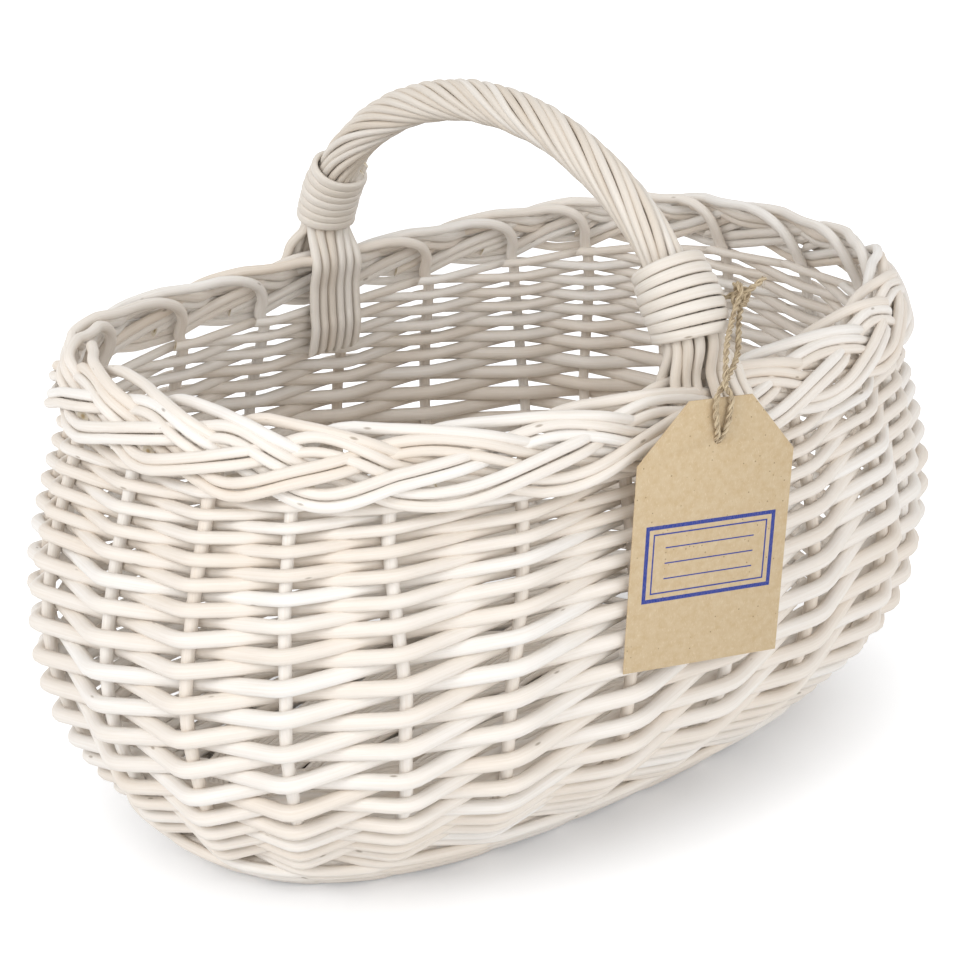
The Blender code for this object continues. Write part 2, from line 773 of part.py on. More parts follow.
def twine_pinch():
    """Where the two strands close, which is the line that the tag swings on."""
    return tag_hole() + Vector((PINCH_ACROSS, -PINCH_OUT, PINCH_RISE))


def twine_knot():
    return bow_point(TIE_ANGLE) + Vector((TIE_KNOT_ACROSS, -TIE_KNOT_OUT, 0.0))


def twine_seat():
    """Where the tail lies against the front lashing."""
    reach = HANDLE_DIAMETER / 2 + TOUCH_GAP + LASHING_DIAMETER + TWINE_DIAMETER / 2
    beside = Vector((math.cos(TIE_SEAT_TURN), -math.sin(TIE_SEAT_TURN), 0.0)) * reach
    return bow_point(TIE_ANGLE) + beside - Vector((0.0, 0.0, TIE_SEAT_DROP))


def tag_matrix():
    """Frame of the tag at its hole: x across, y up the card, z out of its front."""
    across = Vector((math.cos(TAG_TURN), -math.sin(TAG_TURN), 0.0))
    up = Vector((0.0, 0.0, 1.0))
    out = across.cross(up)
    across_rolled = across * math.cos(TAG_ROLL) - up * math.sin(TAG_ROLL)
    up_rolled = up * math.cos(TAG_ROLL) + across * math.sin(TAG_ROLL)
    columns = Matrix((across_rolled, up_rolled, out)).transposed()
    return Matrix.Translation(tag_hole()) @ columns.to_4x4()


def make_tag(group, colour):
    data = bpy.data.curves.new("swing_tag", "CURVE")
    data.dimensions = "2D"
    data.fill_mode = "BOTH"
    data.extrude = TAG_THICKNESS / 2
    top = TAG_HOLE_DROP
    bottom = top - TAG_HEIGHT
    half = TAG_WIDTH / 2
    shoulder = top - TAG_CORNER_DOWN
    neck = half - TAG_CORNER_ACROSS
    outline = [(-neck, top), (-half, shoulder), (-half, bottom), (half, bottom), (half, shoulder), (neck, top)]
    hole = []
    for index in range(TAG_HOLE_POINTS):
        turn = 2 * math.pi * index / TAG_HOLE_POINTS
        hole.append((TAG_HOLE_DIAMETER / 2 * math.cos(turn), TAG_HOLE_DIAMETER / 2 * math.sin(turn)))
    for points in (outline, hole):
        spline = data.splines.new("POLY")
        spline.points.add(len(points) - 1)
        spline.use_cyclic_u = True
        for target, (x, y) in zip(spline.points, points):
            target.co = (x, y, 0.0, 1.0)
    data.materials.append(colour)
    made = bpy.data.objects.new("swing_tag", data)
    made.matrix_world = tag_matrix()
    group.objects.link(made)
    return made


def knot(name, group, colour, place, diameter):
    bpy.ops.mesh.primitive_uv_sphere_add(segments=8, ring_count=6, radius=diameter / 2, location=place)
    made = bpy.context.active_object
    made.name = name
    for holder in list(made.users_collection):
        holder.objects.unlink(made)
    group.objects.link(made)
    made.data.materials.append(colour)
    return made


def make_twine(group, cutters, colour):
    frame = tag_matrix()
    hole = frame.translation
    across = frame.to_3x3().col[0]
    out = frame.to_3x3().col[2]
    pinch = twine_pinch()
    radius = TWINE_DIAMETER / 2
    half = TWINE_PAIR_PITCH / 2
    toward = (pinch - hole).normalized()
    stand = TAG_THICKNESS / 2 + TWINE_DIAMETER
    behind = -KNOT_STAND_OFF
    tie = twine_knot()
    rise = (tie - pinch).normalized()
    bend = rise.cross(toward).normalized()

    def strand(side):
        shift = across * half * side
        return [pinch + bend * half * side - toward * PINCH_GAP,
                pinch.lerp(hole, PINCH_BEND_SHARE) + shift + out * stand,
                hole + shift + out * stand, hole + shift, hole + shift + out * behind]

    left, right = strand(-1.0), strand(1.0)
    loop = left + right[::-1]
    curve = new_curve("tag_twine", group, colour, [[(place, radius) for place in loop]], radius, 1)
    twine = as_mesh(curve, group, colour)
    end_knot = knot("tag_twine_knot", cutters, colour, hole + out * (behind - KNOT_DIAMETER / 4), KNOT_DIAMETER)
    boolean(twine, end_knot, "UNION")

    first = [pinch + bend * half + rise * PINCH_GAP, tie + bend * half, twine_seat()]
    second = [pinch - bend * half + rise * PINCH_GAP, tie - bend * half]
    upper = as_mesh(new_curve("twine_tie", group, colour, [[(p, radius) for p in first]], radius, 1), group, colour)
    other = as_mesh(new_curve("twine_tie_other", cutters, colour, [[(p, radius) for p in second]], radius, 1),
                    cutters, colour)
    boolean(upper, other, "UNION")
    boolean(upper, knot("twine_tie_knot", cutters, colour, tie, KNOT_DIAMETER), "UNION")
    return twine, upper


def main():
    clear_scene()
    group = collection(COLLECTION)
    cutters = collection(CUTTERS)
    white_willow = material("peeled willow", (0.88, 0.84, 0.78), 0.6)
    stake_willow = material("peeled willow stakes", (0.86, 0.79, 0.70), 0.6)
    handle_willow = material("peeled willow handle", (0.76, 0.69, 0.60), 0.6)
    card = material("kraft card", (0.62, 0.48, 0.32), 0.85)
    jute = material("jute twine", (0.47, 0.37, 0.24), 0.9)
    make_stakes(group, stake_willow)
    make_siding(group, white_willow)
    make_upsett(group, cutters, white_willow)
    make_base_sticks(group, cutters, stake_willow)
    make_base_mat(group, cutters, white_willow)
    make_handle(group, cutters, handle_willow)
    make_lashings(group, handle_willow)
    make_tag(group, card)
    make_twine(group, cutters, jute)
    for cutter in cutters.objects:
        cutter.hide_render = True
        cutter.display_type = "WIRE"


main()
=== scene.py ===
"""Willow foraging basket with a roped bow handle and a card tag.

Each operator makes one kind of piece of the basket, in the order that a maker works:
the base, the side stakes with the border plaited from their ends, the upsett, the
siding, the handle with its lashings, and last the tag on its twine. Metres, +Z up.
"""

import json
import math

import bpy
import numpy as np
from mathutils import Matrix, Vector

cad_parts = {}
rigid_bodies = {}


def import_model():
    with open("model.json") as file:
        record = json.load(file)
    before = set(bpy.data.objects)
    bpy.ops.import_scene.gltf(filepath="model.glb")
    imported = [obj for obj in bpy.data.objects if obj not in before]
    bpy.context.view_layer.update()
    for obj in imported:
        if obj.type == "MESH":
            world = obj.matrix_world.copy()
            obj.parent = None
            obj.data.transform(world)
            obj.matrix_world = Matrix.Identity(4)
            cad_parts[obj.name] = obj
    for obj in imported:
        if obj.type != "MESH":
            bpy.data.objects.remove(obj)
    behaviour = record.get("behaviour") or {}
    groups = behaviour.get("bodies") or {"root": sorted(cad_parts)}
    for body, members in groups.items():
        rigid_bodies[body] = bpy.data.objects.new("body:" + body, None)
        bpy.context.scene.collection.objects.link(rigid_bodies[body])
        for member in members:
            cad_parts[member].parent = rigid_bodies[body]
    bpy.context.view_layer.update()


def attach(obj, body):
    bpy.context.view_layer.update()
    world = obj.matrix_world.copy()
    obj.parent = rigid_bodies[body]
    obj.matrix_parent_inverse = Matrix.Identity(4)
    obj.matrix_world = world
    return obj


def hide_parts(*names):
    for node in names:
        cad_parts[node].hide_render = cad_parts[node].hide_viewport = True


bl_info = {
    "name": "Foraging Basket",
    "version": (1, 0, 0),
    "blender": (4, 5, 0),
    "location": "View3D > Sidebar > Basket",
    "description": "Makes a woven willow basket with a roped handle and a swing tag",
    "category": "Add Mesh",
}

for leftover in list(bpy.data.objects):
    bpy.data.objects.remove(leftover, do_unlink=True)
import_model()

# The wall: what share of the belly's size and of the wall's height each level has
LEVEL_SHARES = np.array((0.0, 0.12, 0.30, 0.50, 0.70, 0.88, 1.0))
LENGTH_SHARES = np.array((0.732, 0.869, 0.965, 1.0, 0.967, 0.914, 0.888))
WIDTH_SHARES = np.array((0.549, 0.735, 0.943, 1.0, 0.984, 0.925, 0.890))
WALL_HEIGHT = 0.2091
BELLY_LENGTH = 0.2251
BELLY_WIDTH = 0.1428
END_LIFT = 0.0099
OVAL_POWER = 2.6
BASE_HEIGHT = 0.0063
FOOT_LEVEL = BASE_HEIGHT / WALL_HEIGHT
STAKE_TOP = 0.905
SIDING_START = 0.0242

# How the siding's climb and thickness change from the first stroke of a rod to its last
SIDING_STROKES = np.array((0.0, 4.0, 7.0, 9.0, 14.0, 18.0, 22.0, 25.0, 32.0))
RISE_SHARES = np.array((0.55, 0.55, 0.68, 0.93, 1.0, 0.90, 0.68, 0.62, 0.57))
THICK_SHARES = np.array((0.30, 0.45, 0.75, 0.95, 1.0, 0.90, 0.58, 0.42, 0.0))

# The border ring, and how far its face leans in
BORDER_LENGTH = 0.2042
BORDER_WIDTH = 0.1354
BORDER_LEAN = math.radians(25.2)
BORDER_DROP = 0.002

# The bow of the handle
BOW_SPAN = 0.133
BOW_SPRING = 0.2075
BOW_APEX = 0.3165
BOW_SHIFT = 0.004
NECK_ANGLE = math.radians(15.0)
LASHING_LOW = math.radians(16.2)
LASHING_HIGH = math.radians(32.6)
# The back leg stands a little out and to one side
BACK_LEG_OFF = np.array((-0.0030, 0.0033, 0.0))

# The tag's hole and the pinch that it swings from
TAG_HOLE = Vector((-0.0190, -0.1612, 0.2072))
PINCH = Vector((-0.0182, -0.1631, 0.2301))
TAG_TURN = math.radians(15.0)
TAG_ROLL = math.radians(3.0)
TIE_KNOT = Vector((0.0215, -0.1330, 0.2544))
TIE_SEAT = Vector((0.0137, -0.1215, 0.2529))

# The stakes: at even steps along each long side, and at even turns in degrees round the ends
STAKES = 24
SIDE_STAKES, SIDE_MIDDLE, SIDE_STEP = 5, 0.048, 0.2561
END_STAKES, END_MIDDLE, END_STEP = 7, 181.0, 15.9
# The stakes on this share of the length stand beside cross sticks
CROSS_REACH = 0.58


def linear(code):
    """Linear colour of an sRGB hex code."""
    channels = [int(code[i:i + 2], 16) / 255 for i in (1, 3, 5)]
    return [c / 12.92 if c <= 0.04045 else ((c + 0.055) / 1.055) ** 2.4 for c in channels]


def size(default, name, description):
    return bpy.props.FloatProperty(name=name, description=description, default=default, min=0.0,
                                   unit="LENGTH", precision=5)


def shade(code, name, description):
    return bpy.props.FloatVectorProperty(name=name, description=description, default=linear(code),
                                         min=0.0, max=1.0, size=3, subtype="COLOR")


class BasketWeaveSizes(bpy.types.PropertyGroup):
    """Rod sizes of the base, the sides and the border"""
    stake: size(0.0057, "Stake", "Thickness of a side stake")
    butt: size(0.0074, "Butt", "Thickness of a siding rod at its thickest")
    tip: size(0.0044, "Tip", "Thickness of a siding rod where it ends")
    rise: size(0.0072, "Rise", "Height that a siding rod climbs in a stroke at the belly")
    wale: size(0.0049, "Upsett rod", "Thickness of an upsett rod")
    base_weaver: size(0.0030, "Base weaver", "Thickness of the rods woven round the base sticks")
    base_stick: size(0.0062, "Base stick", "Thickness of a base stick")
    border_rod: size(0.0050, "Border rod", "Thickness of a stake where it is plaited")
    border_tip: size(0.0044, "Border tip", "Thickness of a stake at its cut end")
    border_sweep: size(0.0122, "Border sweep", "Half the height that a strand of the plait climbs")
    border_layer: size(0.0027, "Border layer", "Half the depth between rods that cross in the plait")
    wander: size(0.00030, "Wander", "How far a rod strays from its even course")
    border_wave: bpy.props.FloatProperty(
        name="Border wave", default=4.0, min=3.0, max=7.0,
        description="Stake spaces in which a strand of the plait goes up and down once")
    strokes: bpy.props.IntProperty(name="Strokes", default=33, min=1, max=60,
                                   description="Stakes that each siding rod passes")


class BasketHandleSizes(bpy.types.PropertyGroup):
    """Rod sizes of the handle and its lashings"""
    strand: size(0.0037, "Strand", "Thickness of a rod roped round the bow")
    core: size(0.0125, "Bow rod", "Thickness of the rod inside the handle")
    reach: size(0.0078, "Rope radius", "Distance from the middle of the bow to the middle of a strand")
    lashing: size(0.0048, "Lashing rod", "Width of the rod wound round each foot")
    lashing_depth: size(0.0029, "Lashing depth", "Thickness of that rod across its width")
    foot: size(0.0049, "Foot rod", "Thickness of a rod end below the lashing")
    strands: bpy.props.IntProperty(name="Strands", default=13, min=6, max=20,
                                   description="Rods roped round the bow")
    turns: bpy.props.FloatProperty(name="Rope turns", default=2.0, min=0.5, max=4.0,
                                   description="Turns of each rod from foot to foot")
    lashing_turns: bpy.props.IntProperty(name="Lashing turns", default=7, min=3, max=12,
                                         description="Turns of the rod round each foot")


class BasketTagSizes(bpy.types.PropertyGroup):
    """Sizes of the card tag and its twine"""
    width: size(0.075, "Width", "Width of the card")
    height: size(0.119, "Height", "Height of the card")
    corner_across: size(0.0225, "Corner across", "Width cut from each top corner")
    corner_down: size(0.026, "Corner down", "Height cut from each top corner")
    thickness: size(0.0008, "Thickness", "Thickness of the card")
    hole: size(0.0040, "Hole", "Width of the hole")
    hole_drop: size(0.018, "Hole drop", "Distance from the card's top edge to its hole")
    twine: size(0.0027, "Twine", "Thickness of the two-ply twine")
    lay: size(0.0082, "Lay", "Length in which the two plies turn once round each other")


class BasketFinishes(bpy.types.PropertyGroup):
    """Colours of the finishes"""
    pale: shade("#f3f0ec", "Pale willow", "Peeled willow at its palest")
    warm: shade("#e8ddd0", "Warm willow", "Peeled willow at its warmest")
    # Painted shade: the handle and its lashings get the same peeled willow in darker colours, for the light
    # that their arch lacks
    shaded_handle_pale: shade("#e9e4dd", "Handle, pale", "Peeled willow of the handle at its palest")
    shaded_handle_warm: shade("#d9cec0", "Handle, warm", "Peeled willow of the handle at its warmest")
    speck: shade("#7d6a50", "Speck", "Bud scars and specks in the willow")
    cut: shade("#e8dfcd", "Cut end", "Fresh wood at a cut end")
    pith: shade("#bfa981", "Pith", "The pith in the middle of a cut end")
    card: shade("#cbb797", "Card", "Kraft card")
    card_dark: shade("#b79a6f", "Card, dark fibres", "The darker fibres in the card")
    ink: shade("#0a3590", "Ink", "The printed frame on the card")
    twine_pale: shade("#dccbab", "Twine, pale", "The paler fibres in the twine")
    twine_dark: shade("#84705a", "Twine, dark", "The darker fibres in the twine")


class BasketStageSettings(bpy.types.PropertyGroup):
    """Camera and lights"""
    azimuth: bpy.props.FloatProperty(name="Azimuth", description="Turn of the camera round the basket",
                                     default=math.radians(-40.64), subtype="ANGLE")
    elevation: bpy.props.FloatProperty(name="Elevation", description="Height of the camera above the horizon",
                                       default=math.radians(22.35), subtype="ANGLE")
    roll: bpy.props.FloatProperty(name="Roll", description="Turn of the camera about its line of sight",
                                  default=math.radians(-0.28), subtype="ANGLE")
    distance: size(1.137, "Distance", "Distance from the camera to its target")
    target_height: size(0.1235, "Target height", "Height that the camera is aimed at")
    lens: bpy.props.FloatProperty(name="Lens", description="Focal length in millimetres", default=88.86)
    key_power: bpy.props.FloatProperty(name="Key light", description="Power of the main softbox",
                                       default=11.6)
    front_power: bpy.props.FloatProperty(name="Front light", description="Power of the softbox in front",
                                         default=11.2)
    sky: bpy.props.FloatProperty(name="Sky", description="Level of the light from all round", default=0.72)


# Shape of the wall

def along_table(places, values, at):
    """Catmull-Rom values at places along a table."""
    at = np.asarray(at, float)
    last = len(places) - 1
    left = np.clip(np.searchsorted(places, at, side="right") - 1, 0, last - 1)
    before, after = np.maximum(left - 1, 0), np.minimum(left + 2, last)
    span = places[left + 1] - places[left]
    share = (at - places[left]) / span
    slope_left = (values[left + 1] - values[before]) / (places[left + 1] - places[before]) * span
    slope_right = (values[after] - values[left]) / (places[after] - places[left]) * span
    cube, square = share ** 3, share ** 2
    return ((2 * cube - 3 * square + 1) * values[left] + (cube - 2 * square + share) * slope_left
            + (3 * square - 2 * cube) * values[left + 1] + (cube - square) * slope_right)


def oval(length, width, turn):
    along, across = np.cos(turn), np.sin(turn)
    power = 2.0 / OVAL_POWER
    return length * np.sign(along) * np.abs(along) ** power, width * np.sign(across) * np.abs(across) ** power


def wall(turn, level):
    """Points of the stake line at turns round the basket and levels up it."""
    turn, level = np.broadcast_arrays(np.asarray(turn, float), np.asarray(level, float))
    x, y = oval(BELLY_LENGTH * along_table(LEVEL_SHARES, LENGTH_SHARES, level),
                BELLY_WIDTH * along_table(LEVEL_SHARES, WIDTH_SHARES, level), turn)
    z = WALL_HEIGHT * level + END_LIFT * level ** 2 * (x / BORDER_LENGTH) ** 2
    return np.stack([x, y, z], axis=-1)


def unit(vectors):
    return vectors / np.linalg.norm(vectors, axis=-1, keepdims=True)


def run_along(points):
    """Lengths from the start of a line to each of its points."""
    return np.concatenate([[0.0], np.cumsum(np.linalg.norm(np.diff(points, axis=0), axis=1))])


def each_axis(change, points):
    """Points made from others by the same change of their x, y and z."""
    return np.stack([change(points[:, axis]) for axis in range(3)], axis=1)


def smooth_step(share):
    return share * share * (3 - 2 * share)


def wall_out(turn, level):
    """Unit vectors square to the wall, pointing out of the basket."""
    step = 0.01
    across = wall(turn + step, level) - wall(turn - step, level)
    upward = wall(turn, level + step) - wall(turn, level - step)
    return unit(np.cross(across, upward))


def stake_turns():
    """Turns of the stakes: five beside the cross sticks on each long side, seven round each end."""
    turns = []
    for index in range(SIDE_STAKES):
        share = SIDE_MIDDLE + SIDE_STEP * (index - SIDE_STAKES // 2)
        along = math.copysign(abs(share) ** (OVAL_POWER / 2), share)
        turns += [math.acos(along), 2 * math.pi - math.acos(along)]
    for index in range(END_STAKES):
        turn = math.radians(END_MIDDLE + END_STEP * (index - END_STAKES // 2))
        turns += [turn, (math.pi - turn) % (2 * math.pi)]
    return sorted(turns)


TURNS = stake_turns()


def by_cross_stick(turn):
    """Whether a stake stands beside a cross stick, so on a long side."""
    return abs(math.cos(turn)) ** (2 / OVAL_POWER) < CROSS_REACH


def even_places(samples=33, level=0.6):
    """Turns at even steps of length between one stake and the next, measured at one level."""
    places, turns = [], []
    for stake in range(STAKES):
        after = TURNS[(stake + 1) % STAKES] + (2 * math.pi if stake == STAKES - 1 else 0.0)
        fine = np.linspace(TURNS[stake], after, samples)
        length = run_along(wall(fine, level))
        places += list(stake + length[:-1] / length[-1])
        turns += list(fine[:-1])
    return np.array(places + [STAKES]), np.array(turns + [TURNS[0] + 2 * math.pi])


PLACE_TABLE, TURN_TABLE = even_places()

# The stakes at the four corners lean towards the long sides on their way down
CORNER_LEAN = {13: 0.10, 14: 0.17, 15: -0.08, 9: -0.10, 8: -0.17, 7: 0.08,
               21: -0.10, 20: -0.17, 19: 0.08, 1: 0.10, 2: 0.17, 3: -0.08}
LEAN = np.array([CORNER_LEAN.get(stake, 0.0) for stake in range(STAKES)])
LEAN_LEVELS = np.array((0.0, 0.15, 0.30, 0.55, 0.85, 1.0))
LEAN_SHARES = np.array((0.6, 0.8, 1.0, 1.0, 0.0, 0.0))


def leaning(place, level):
    """Places as far along as the stakes there lean at a level."""
    place = np.asarray(place, float)
    left = np.floor(place)
    share = place - left
    lean = LEAN[left.astype(int) % STAKES] * (1.0 - share) + LEAN[(left.astype(int) + 1) % STAKES] * share
    return place + lean * np.interp(level, LEAN_LEVELS, LEAN_SHARES)


def turn_at(place):
    """Turns of places counted in stake spaces from the first stake."""
    place = np.asarray(place, float)
    rounds = np.floor(place / STAKES)
    return np.interp(place - STAKES * rounds, PLACE_TABLE, TURN_TABLE) + 2 * math.pi * rounds


def wandering(count, reach, seed, knots=9):
    """A slow random line, for the small unevenness of real rods."""
    values = np.random.default_rng(seed).normal(0.0, 1.0, knots)
    return reach * np.interp(np.linspace(0, knots - 1, count), np.arange(knots), values)


# Rods

WELD_DISTANCE = 1e-6


def choose(*pieces):
    bpy.ops.object.select_all(action="DESELECT")
    for piece in pieces:
        piece.select_set(True)
    bpy.context.view_layer.objects.active = pieces[0]


def weld(made, crease):
    """Welds doubled vertices, and shades the piece smooth but for edges sharper than the crease."""
    choose(made)
    bpy.ops.object.mode_set(mode="EDIT")
    bpy.ops.mesh.select_all(action="SELECT")
    bpy.ops.mesh.remove_doubles(threshold=WELD_DISTANCE)
    bpy.ops.object.mode_set(mode="OBJECT")
    bpy.ops.object.shade_smooth_by_angle(angle=math.radians(crease))


def start_curve(name, add_curve):
    """An empty curve, made from one of Blender's own."""
    bpy.ops.object.select_all(action="DESELECT")
    add_curve()
    made = bpy.context.active_object
    made.name = name
    made.data.splines.clear()
    return made


def vertex_spots(mesh):
    spots = np.empty(len(mesh.vertices) * 3)
    mesh.vertices.foreach_get("co", spots)
    return spots.reshape(-1, 3)


def keep_values(mesh, name, kind, key, values):
    """Gives each vertex a value that the finishes read."""
    mesh.attributes.new(name, kind, "POINT").data.foreach_set(key, np.ravel(values))


def finish_piece(made, nodes=(), body="basket"):
    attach(made, body)
    if nodes:
        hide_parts(*nodes)
    return made


def bend_rod(name, points, radii, materials, tone, sides=12, slant=(0.0, 0.0), start=0.0):
    """A rod bent along points: a bevelled curve made a mesh, its ends cut and welded.

    Each vertex keeps its place in the straight rod, which the wood's grain is drawn on.
    """
    points = np.asarray(points, float)
    radii = np.ones(len(points)) * radii
    made = start_curve(name, bpy.ops.curve.primitive_nurbs_path_add)
    curve = made.data
    spline = curve.splines.new("POLY")
    spline.points.add(len(points) - 1)
    spline.points.foreach_set("co", np.concatenate([points, np.ones((len(points), 1))], axis=1).ravel())
    spline.points.foreach_set("radius", radii)
    curve.bevel_depth = 1.0
    curve.bevel_resolution = sides // 2 - 2
    curve.use_fill_caps = True
    bpy.ops.object.convert(target="MESH")
    mesh = made.data
    mesh.name = name
    spots = vertex_spots(mesh)
    # The mesh has the vertices of its two end faces first, then a ring for each point
    rings = spots[2 * sides:].reshape(len(points), sides, 3)
    around = np.arange(sides) / sides * 2 * math.pi
    grain = np.empty((len(points), sides, 3))
    grain[..., 0] = np.cos(around) * radii[:, None]
    grain[..., 1] = np.sin(around) * radii[:, None]
    grain[..., 2] = (run_along(points) + start)[:, None]
    all_grain = np.empty((len(spots), 3))
    all_grain[2 * sides:] = grain.reshape(-1, 3)
    for face, ring, amount in ((slice(0, sides), -1, slant[1]), (slice(sides, 2 * sides), 0, slant[0])):
        apart = np.linalg.norm(spots[face][:, None] - rings[ring][None], axis=-1)
        nearest = apart.argmin(axis=1)
        axis = unit(points[-1] - points[-2] if ring else points[0] - points[1])
        side = unit(rings[ring][0] - points[ring])
        rings[ring] += axis * ((rings[ring] - points[ring]) @ side)[:, None] * amount
        spots[face] = rings[ring][nearest]
        all_grain[face] = grain[ring][nearest]
    mesh.vertices.foreach_set("co", spots.ravel())
    keep_values(mesh, "grain", "FLOAT_VECTOR", "vector", all_grain)
    keep_values(mesh, "tone", "FLOAT", "value", np.full(len(spots), tone))
    mesh.materials.clear()
    for material in materials:
        mesh.materials.append(material)
    if len(materials) > 1:
        for face in mesh.polygons:
            if max(face.vertices) < 2 * sides:
                face.material_index = 1
    weld(made, 50.0)
    return made


def add_rod(name, points, radii, kind, tone, nodes=(), **form):
    """A willow rod of the basket: a siding rod, a stake or a rod of the handle."""
    made = bend_rod(name, points, radii, [finishes()[kind], finishes()["cut"]], tone, **form)
    return finish_piece(made, nodes)


# Finishes

# Where a Mix node has its two colours and the mixed one
MIX_COLOURS = (6, 7)
MIX_RESULT = 2


def plug(tree, socket, value):
    """Links an output to a socket, or gives the socket a value."""
    if isinstance(value, bpy.types.NodeSocket):
        tree.links.new(value, socket)
    else:
        socket.default_value = value


def add_node(tree, kind, settings=None, values=(), **named):
    """Adds a node. Values go to its first sockets in turn, named ones to the socket with that name."""
    made = tree.nodes.new(kind)
    for key, value in (settings or {}).items():
        setattr(made, key, value)
    for socket, value in zip(made.inputs, values):
        plug(tree, socket, value)
    for key, value in named.items():
        plug(tree, made.inputs[key.replace("_", " ")], value)
    return made


def calc(tree, kind, *values):
    return add_node(tree, "ShaderNodeMath", {"operation": kind}, values).outputs[0]


def calc_vector(tree, kind, *values):
    made = add_node(tree, "ShaderNodeVectorMath", {"operation": kind}, values)
    return made.outputs["Value" if kind == "LENGTH" else "Vector"]


def remap(tree, value, source, target, **settings):
    """Takes a value from one range to another, and keeps it inside that."""
    return add_node(tree, "ShaderNodeMapRange", settings, (value, *source, *target)).outputs[0]


def mix(tree, share, first, second, kind="MIX"):
    made = add_node(tree, "ShaderNodeMix", {"data_type": "RGBA", "blend_type": kind}, Factor=share)
    for socket, colour in zip(MIX_COLOURS, (first, second)):
        plug(tree, made.inputs[socket], colour)
    return made.outputs[MIX_RESULT]


def kept_value(tree, name, output="Vector"):
    return add_node(tree, "ShaderNodeAttribute", {"attribute_name": name}).outputs[output]


def noise(tree, place, scales, detail, roughness=0.5, output="Fac"):
    """Noise with a number of cells a metre along each axis."""
    cells = add_node(tree, "ShaderNodeMapping", Vector=place, Scale=scales).outputs[0]
    return add_node(tree, "ShaderNodeTexNoise", Vector=cells, Scale=1.0, Detail=detail,
                    Roughness=roughness).outputs[output]


def speckle(tree, place, scales, edge, rarity):
    """Round specks in a few cells of a random pattern: 1 in the middle of each, 0 outside them."""
    cells = add_node(tree, "ShaderNodeMapping", Vector=place, Scale=scales).outputs[0]
    pattern = add_node(tree, "ShaderNodeTexVoronoi", Vector=cells, Scale=1.0)
    near = remap(tree, pattern.outputs["Distance"], edge, (1.0, 0.0))
    chance = add_node(tree, "ShaderNodeSeparateColor", Color=pattern.outputs["Color"]).outputs[0]
    return calc(tree, "MULTIPLY", near, calc(tree, "GREATER_THAN", chance, rarity))


def bump(tree, height, strength, depth):
    return add_node(tree, "ShaderNodeBump", Strength=strength, Distance=depth, Height=height).outputs[0]


def new_finish(name):
    made = bpy.data.materials.new(name)
    made.use_nodes = True
    made.node_tree.nodes.clear()
    return made, made.node_tree


def close_finish(tree, **inputs):
    """Adds the surface of a finish, with what its named sockets get."""
    surface = add_node(tree, "ShaderNodeBsdfPrincipled", **inputs).outputs[0]
    add_node(tree, "ShaderNodeOutputMaterial", values=(surface,))


def opaque(colour):
    return (*colour, 1.0)


def peeled_willow(name, pale, warm, speck, roughness):
    """White willow, boiled and stripped of its bark, then left unvarnished.

    Its skin is smooth and satin, with fibres that run along the rod, a warmer cast on
    some rods than on others, and small brown bud scars.
    """
    made, tree = new_finish(name)
    tone = kept_value(tree, "tone", "Fac")
    own_place = add_node(tree, "ShaderNodeCombineXYZ", Z=calc(tree, "MULTIPLY", tone, 7.3)).outputs[0]
    straight = calc_vector(tree, "ADD", kept_value(tree, "grain"), own_place)
    # Fibres 0.5 mm wide and 30 mm long, drawn at 0.8 mm so that they show
    fibres = noise(tree, straight, (1250.0, 1250.0, 34.0), 3.0, 0.6)
    # Casts of colour about 60 mm long
    cast = noise(tree, straight, (90.0, 90.0, 16.0), 2.0)
    warmth = remap(tree, calc(tree, "MULTIPLY_ADD", cast, 0.9, tone), (0.35, 1.45), (0.0, 1.0))
    wood = mix(tree, warmth, opaque(pale), opaque(warm))
    streak = remap(tree, fibres, (0.30, 0.62), (0.16, 0.0))
    wood = mix(tree, streak, wood, opaque(linear("#c9b491")), "MULTIPLY")
    # Bud scars about 1 mm across, some along each rod
    scar = speckle(tree, straight, (150.0, 150.0, 52.0), (0.05, 0.11), 0.72)
    wood = mix(tree, calc(tree, "MULTIPLY", scar, 0.6), wood, opaque(speck))
    satin = remap(tree, fibres, (0.3, 0.7), (roughness + 0.10, roughness))
    relief = bump(tree, calc(tree, "SUBTRACT", fibres, scar), 0.35, 0.00012)
    close_finish(tree, Base_Color=wood, Roughness=satin, Specular_IOR_Level=0.45, Normal=relief)
    return made


def cut_willow(name, wood, pith):
    """The cut end of a willow rod: pale wood round a brown pith."""
    made, tree = new_finish(name)
    flat = calc_vector(tree, "MULTIPLY", kept_value(tree, "grain"), (1.0, 1.0, 0.0))
    share = remap(tree, calc_vector(tree, "LENGTH", flat), (0.0004, 0.0011), (0.0, 1.0))
    close_finish(tree, Base_Color=mix(tree, share, opaque(pith), opaque(wood)), Roughness=0.75)
    return made


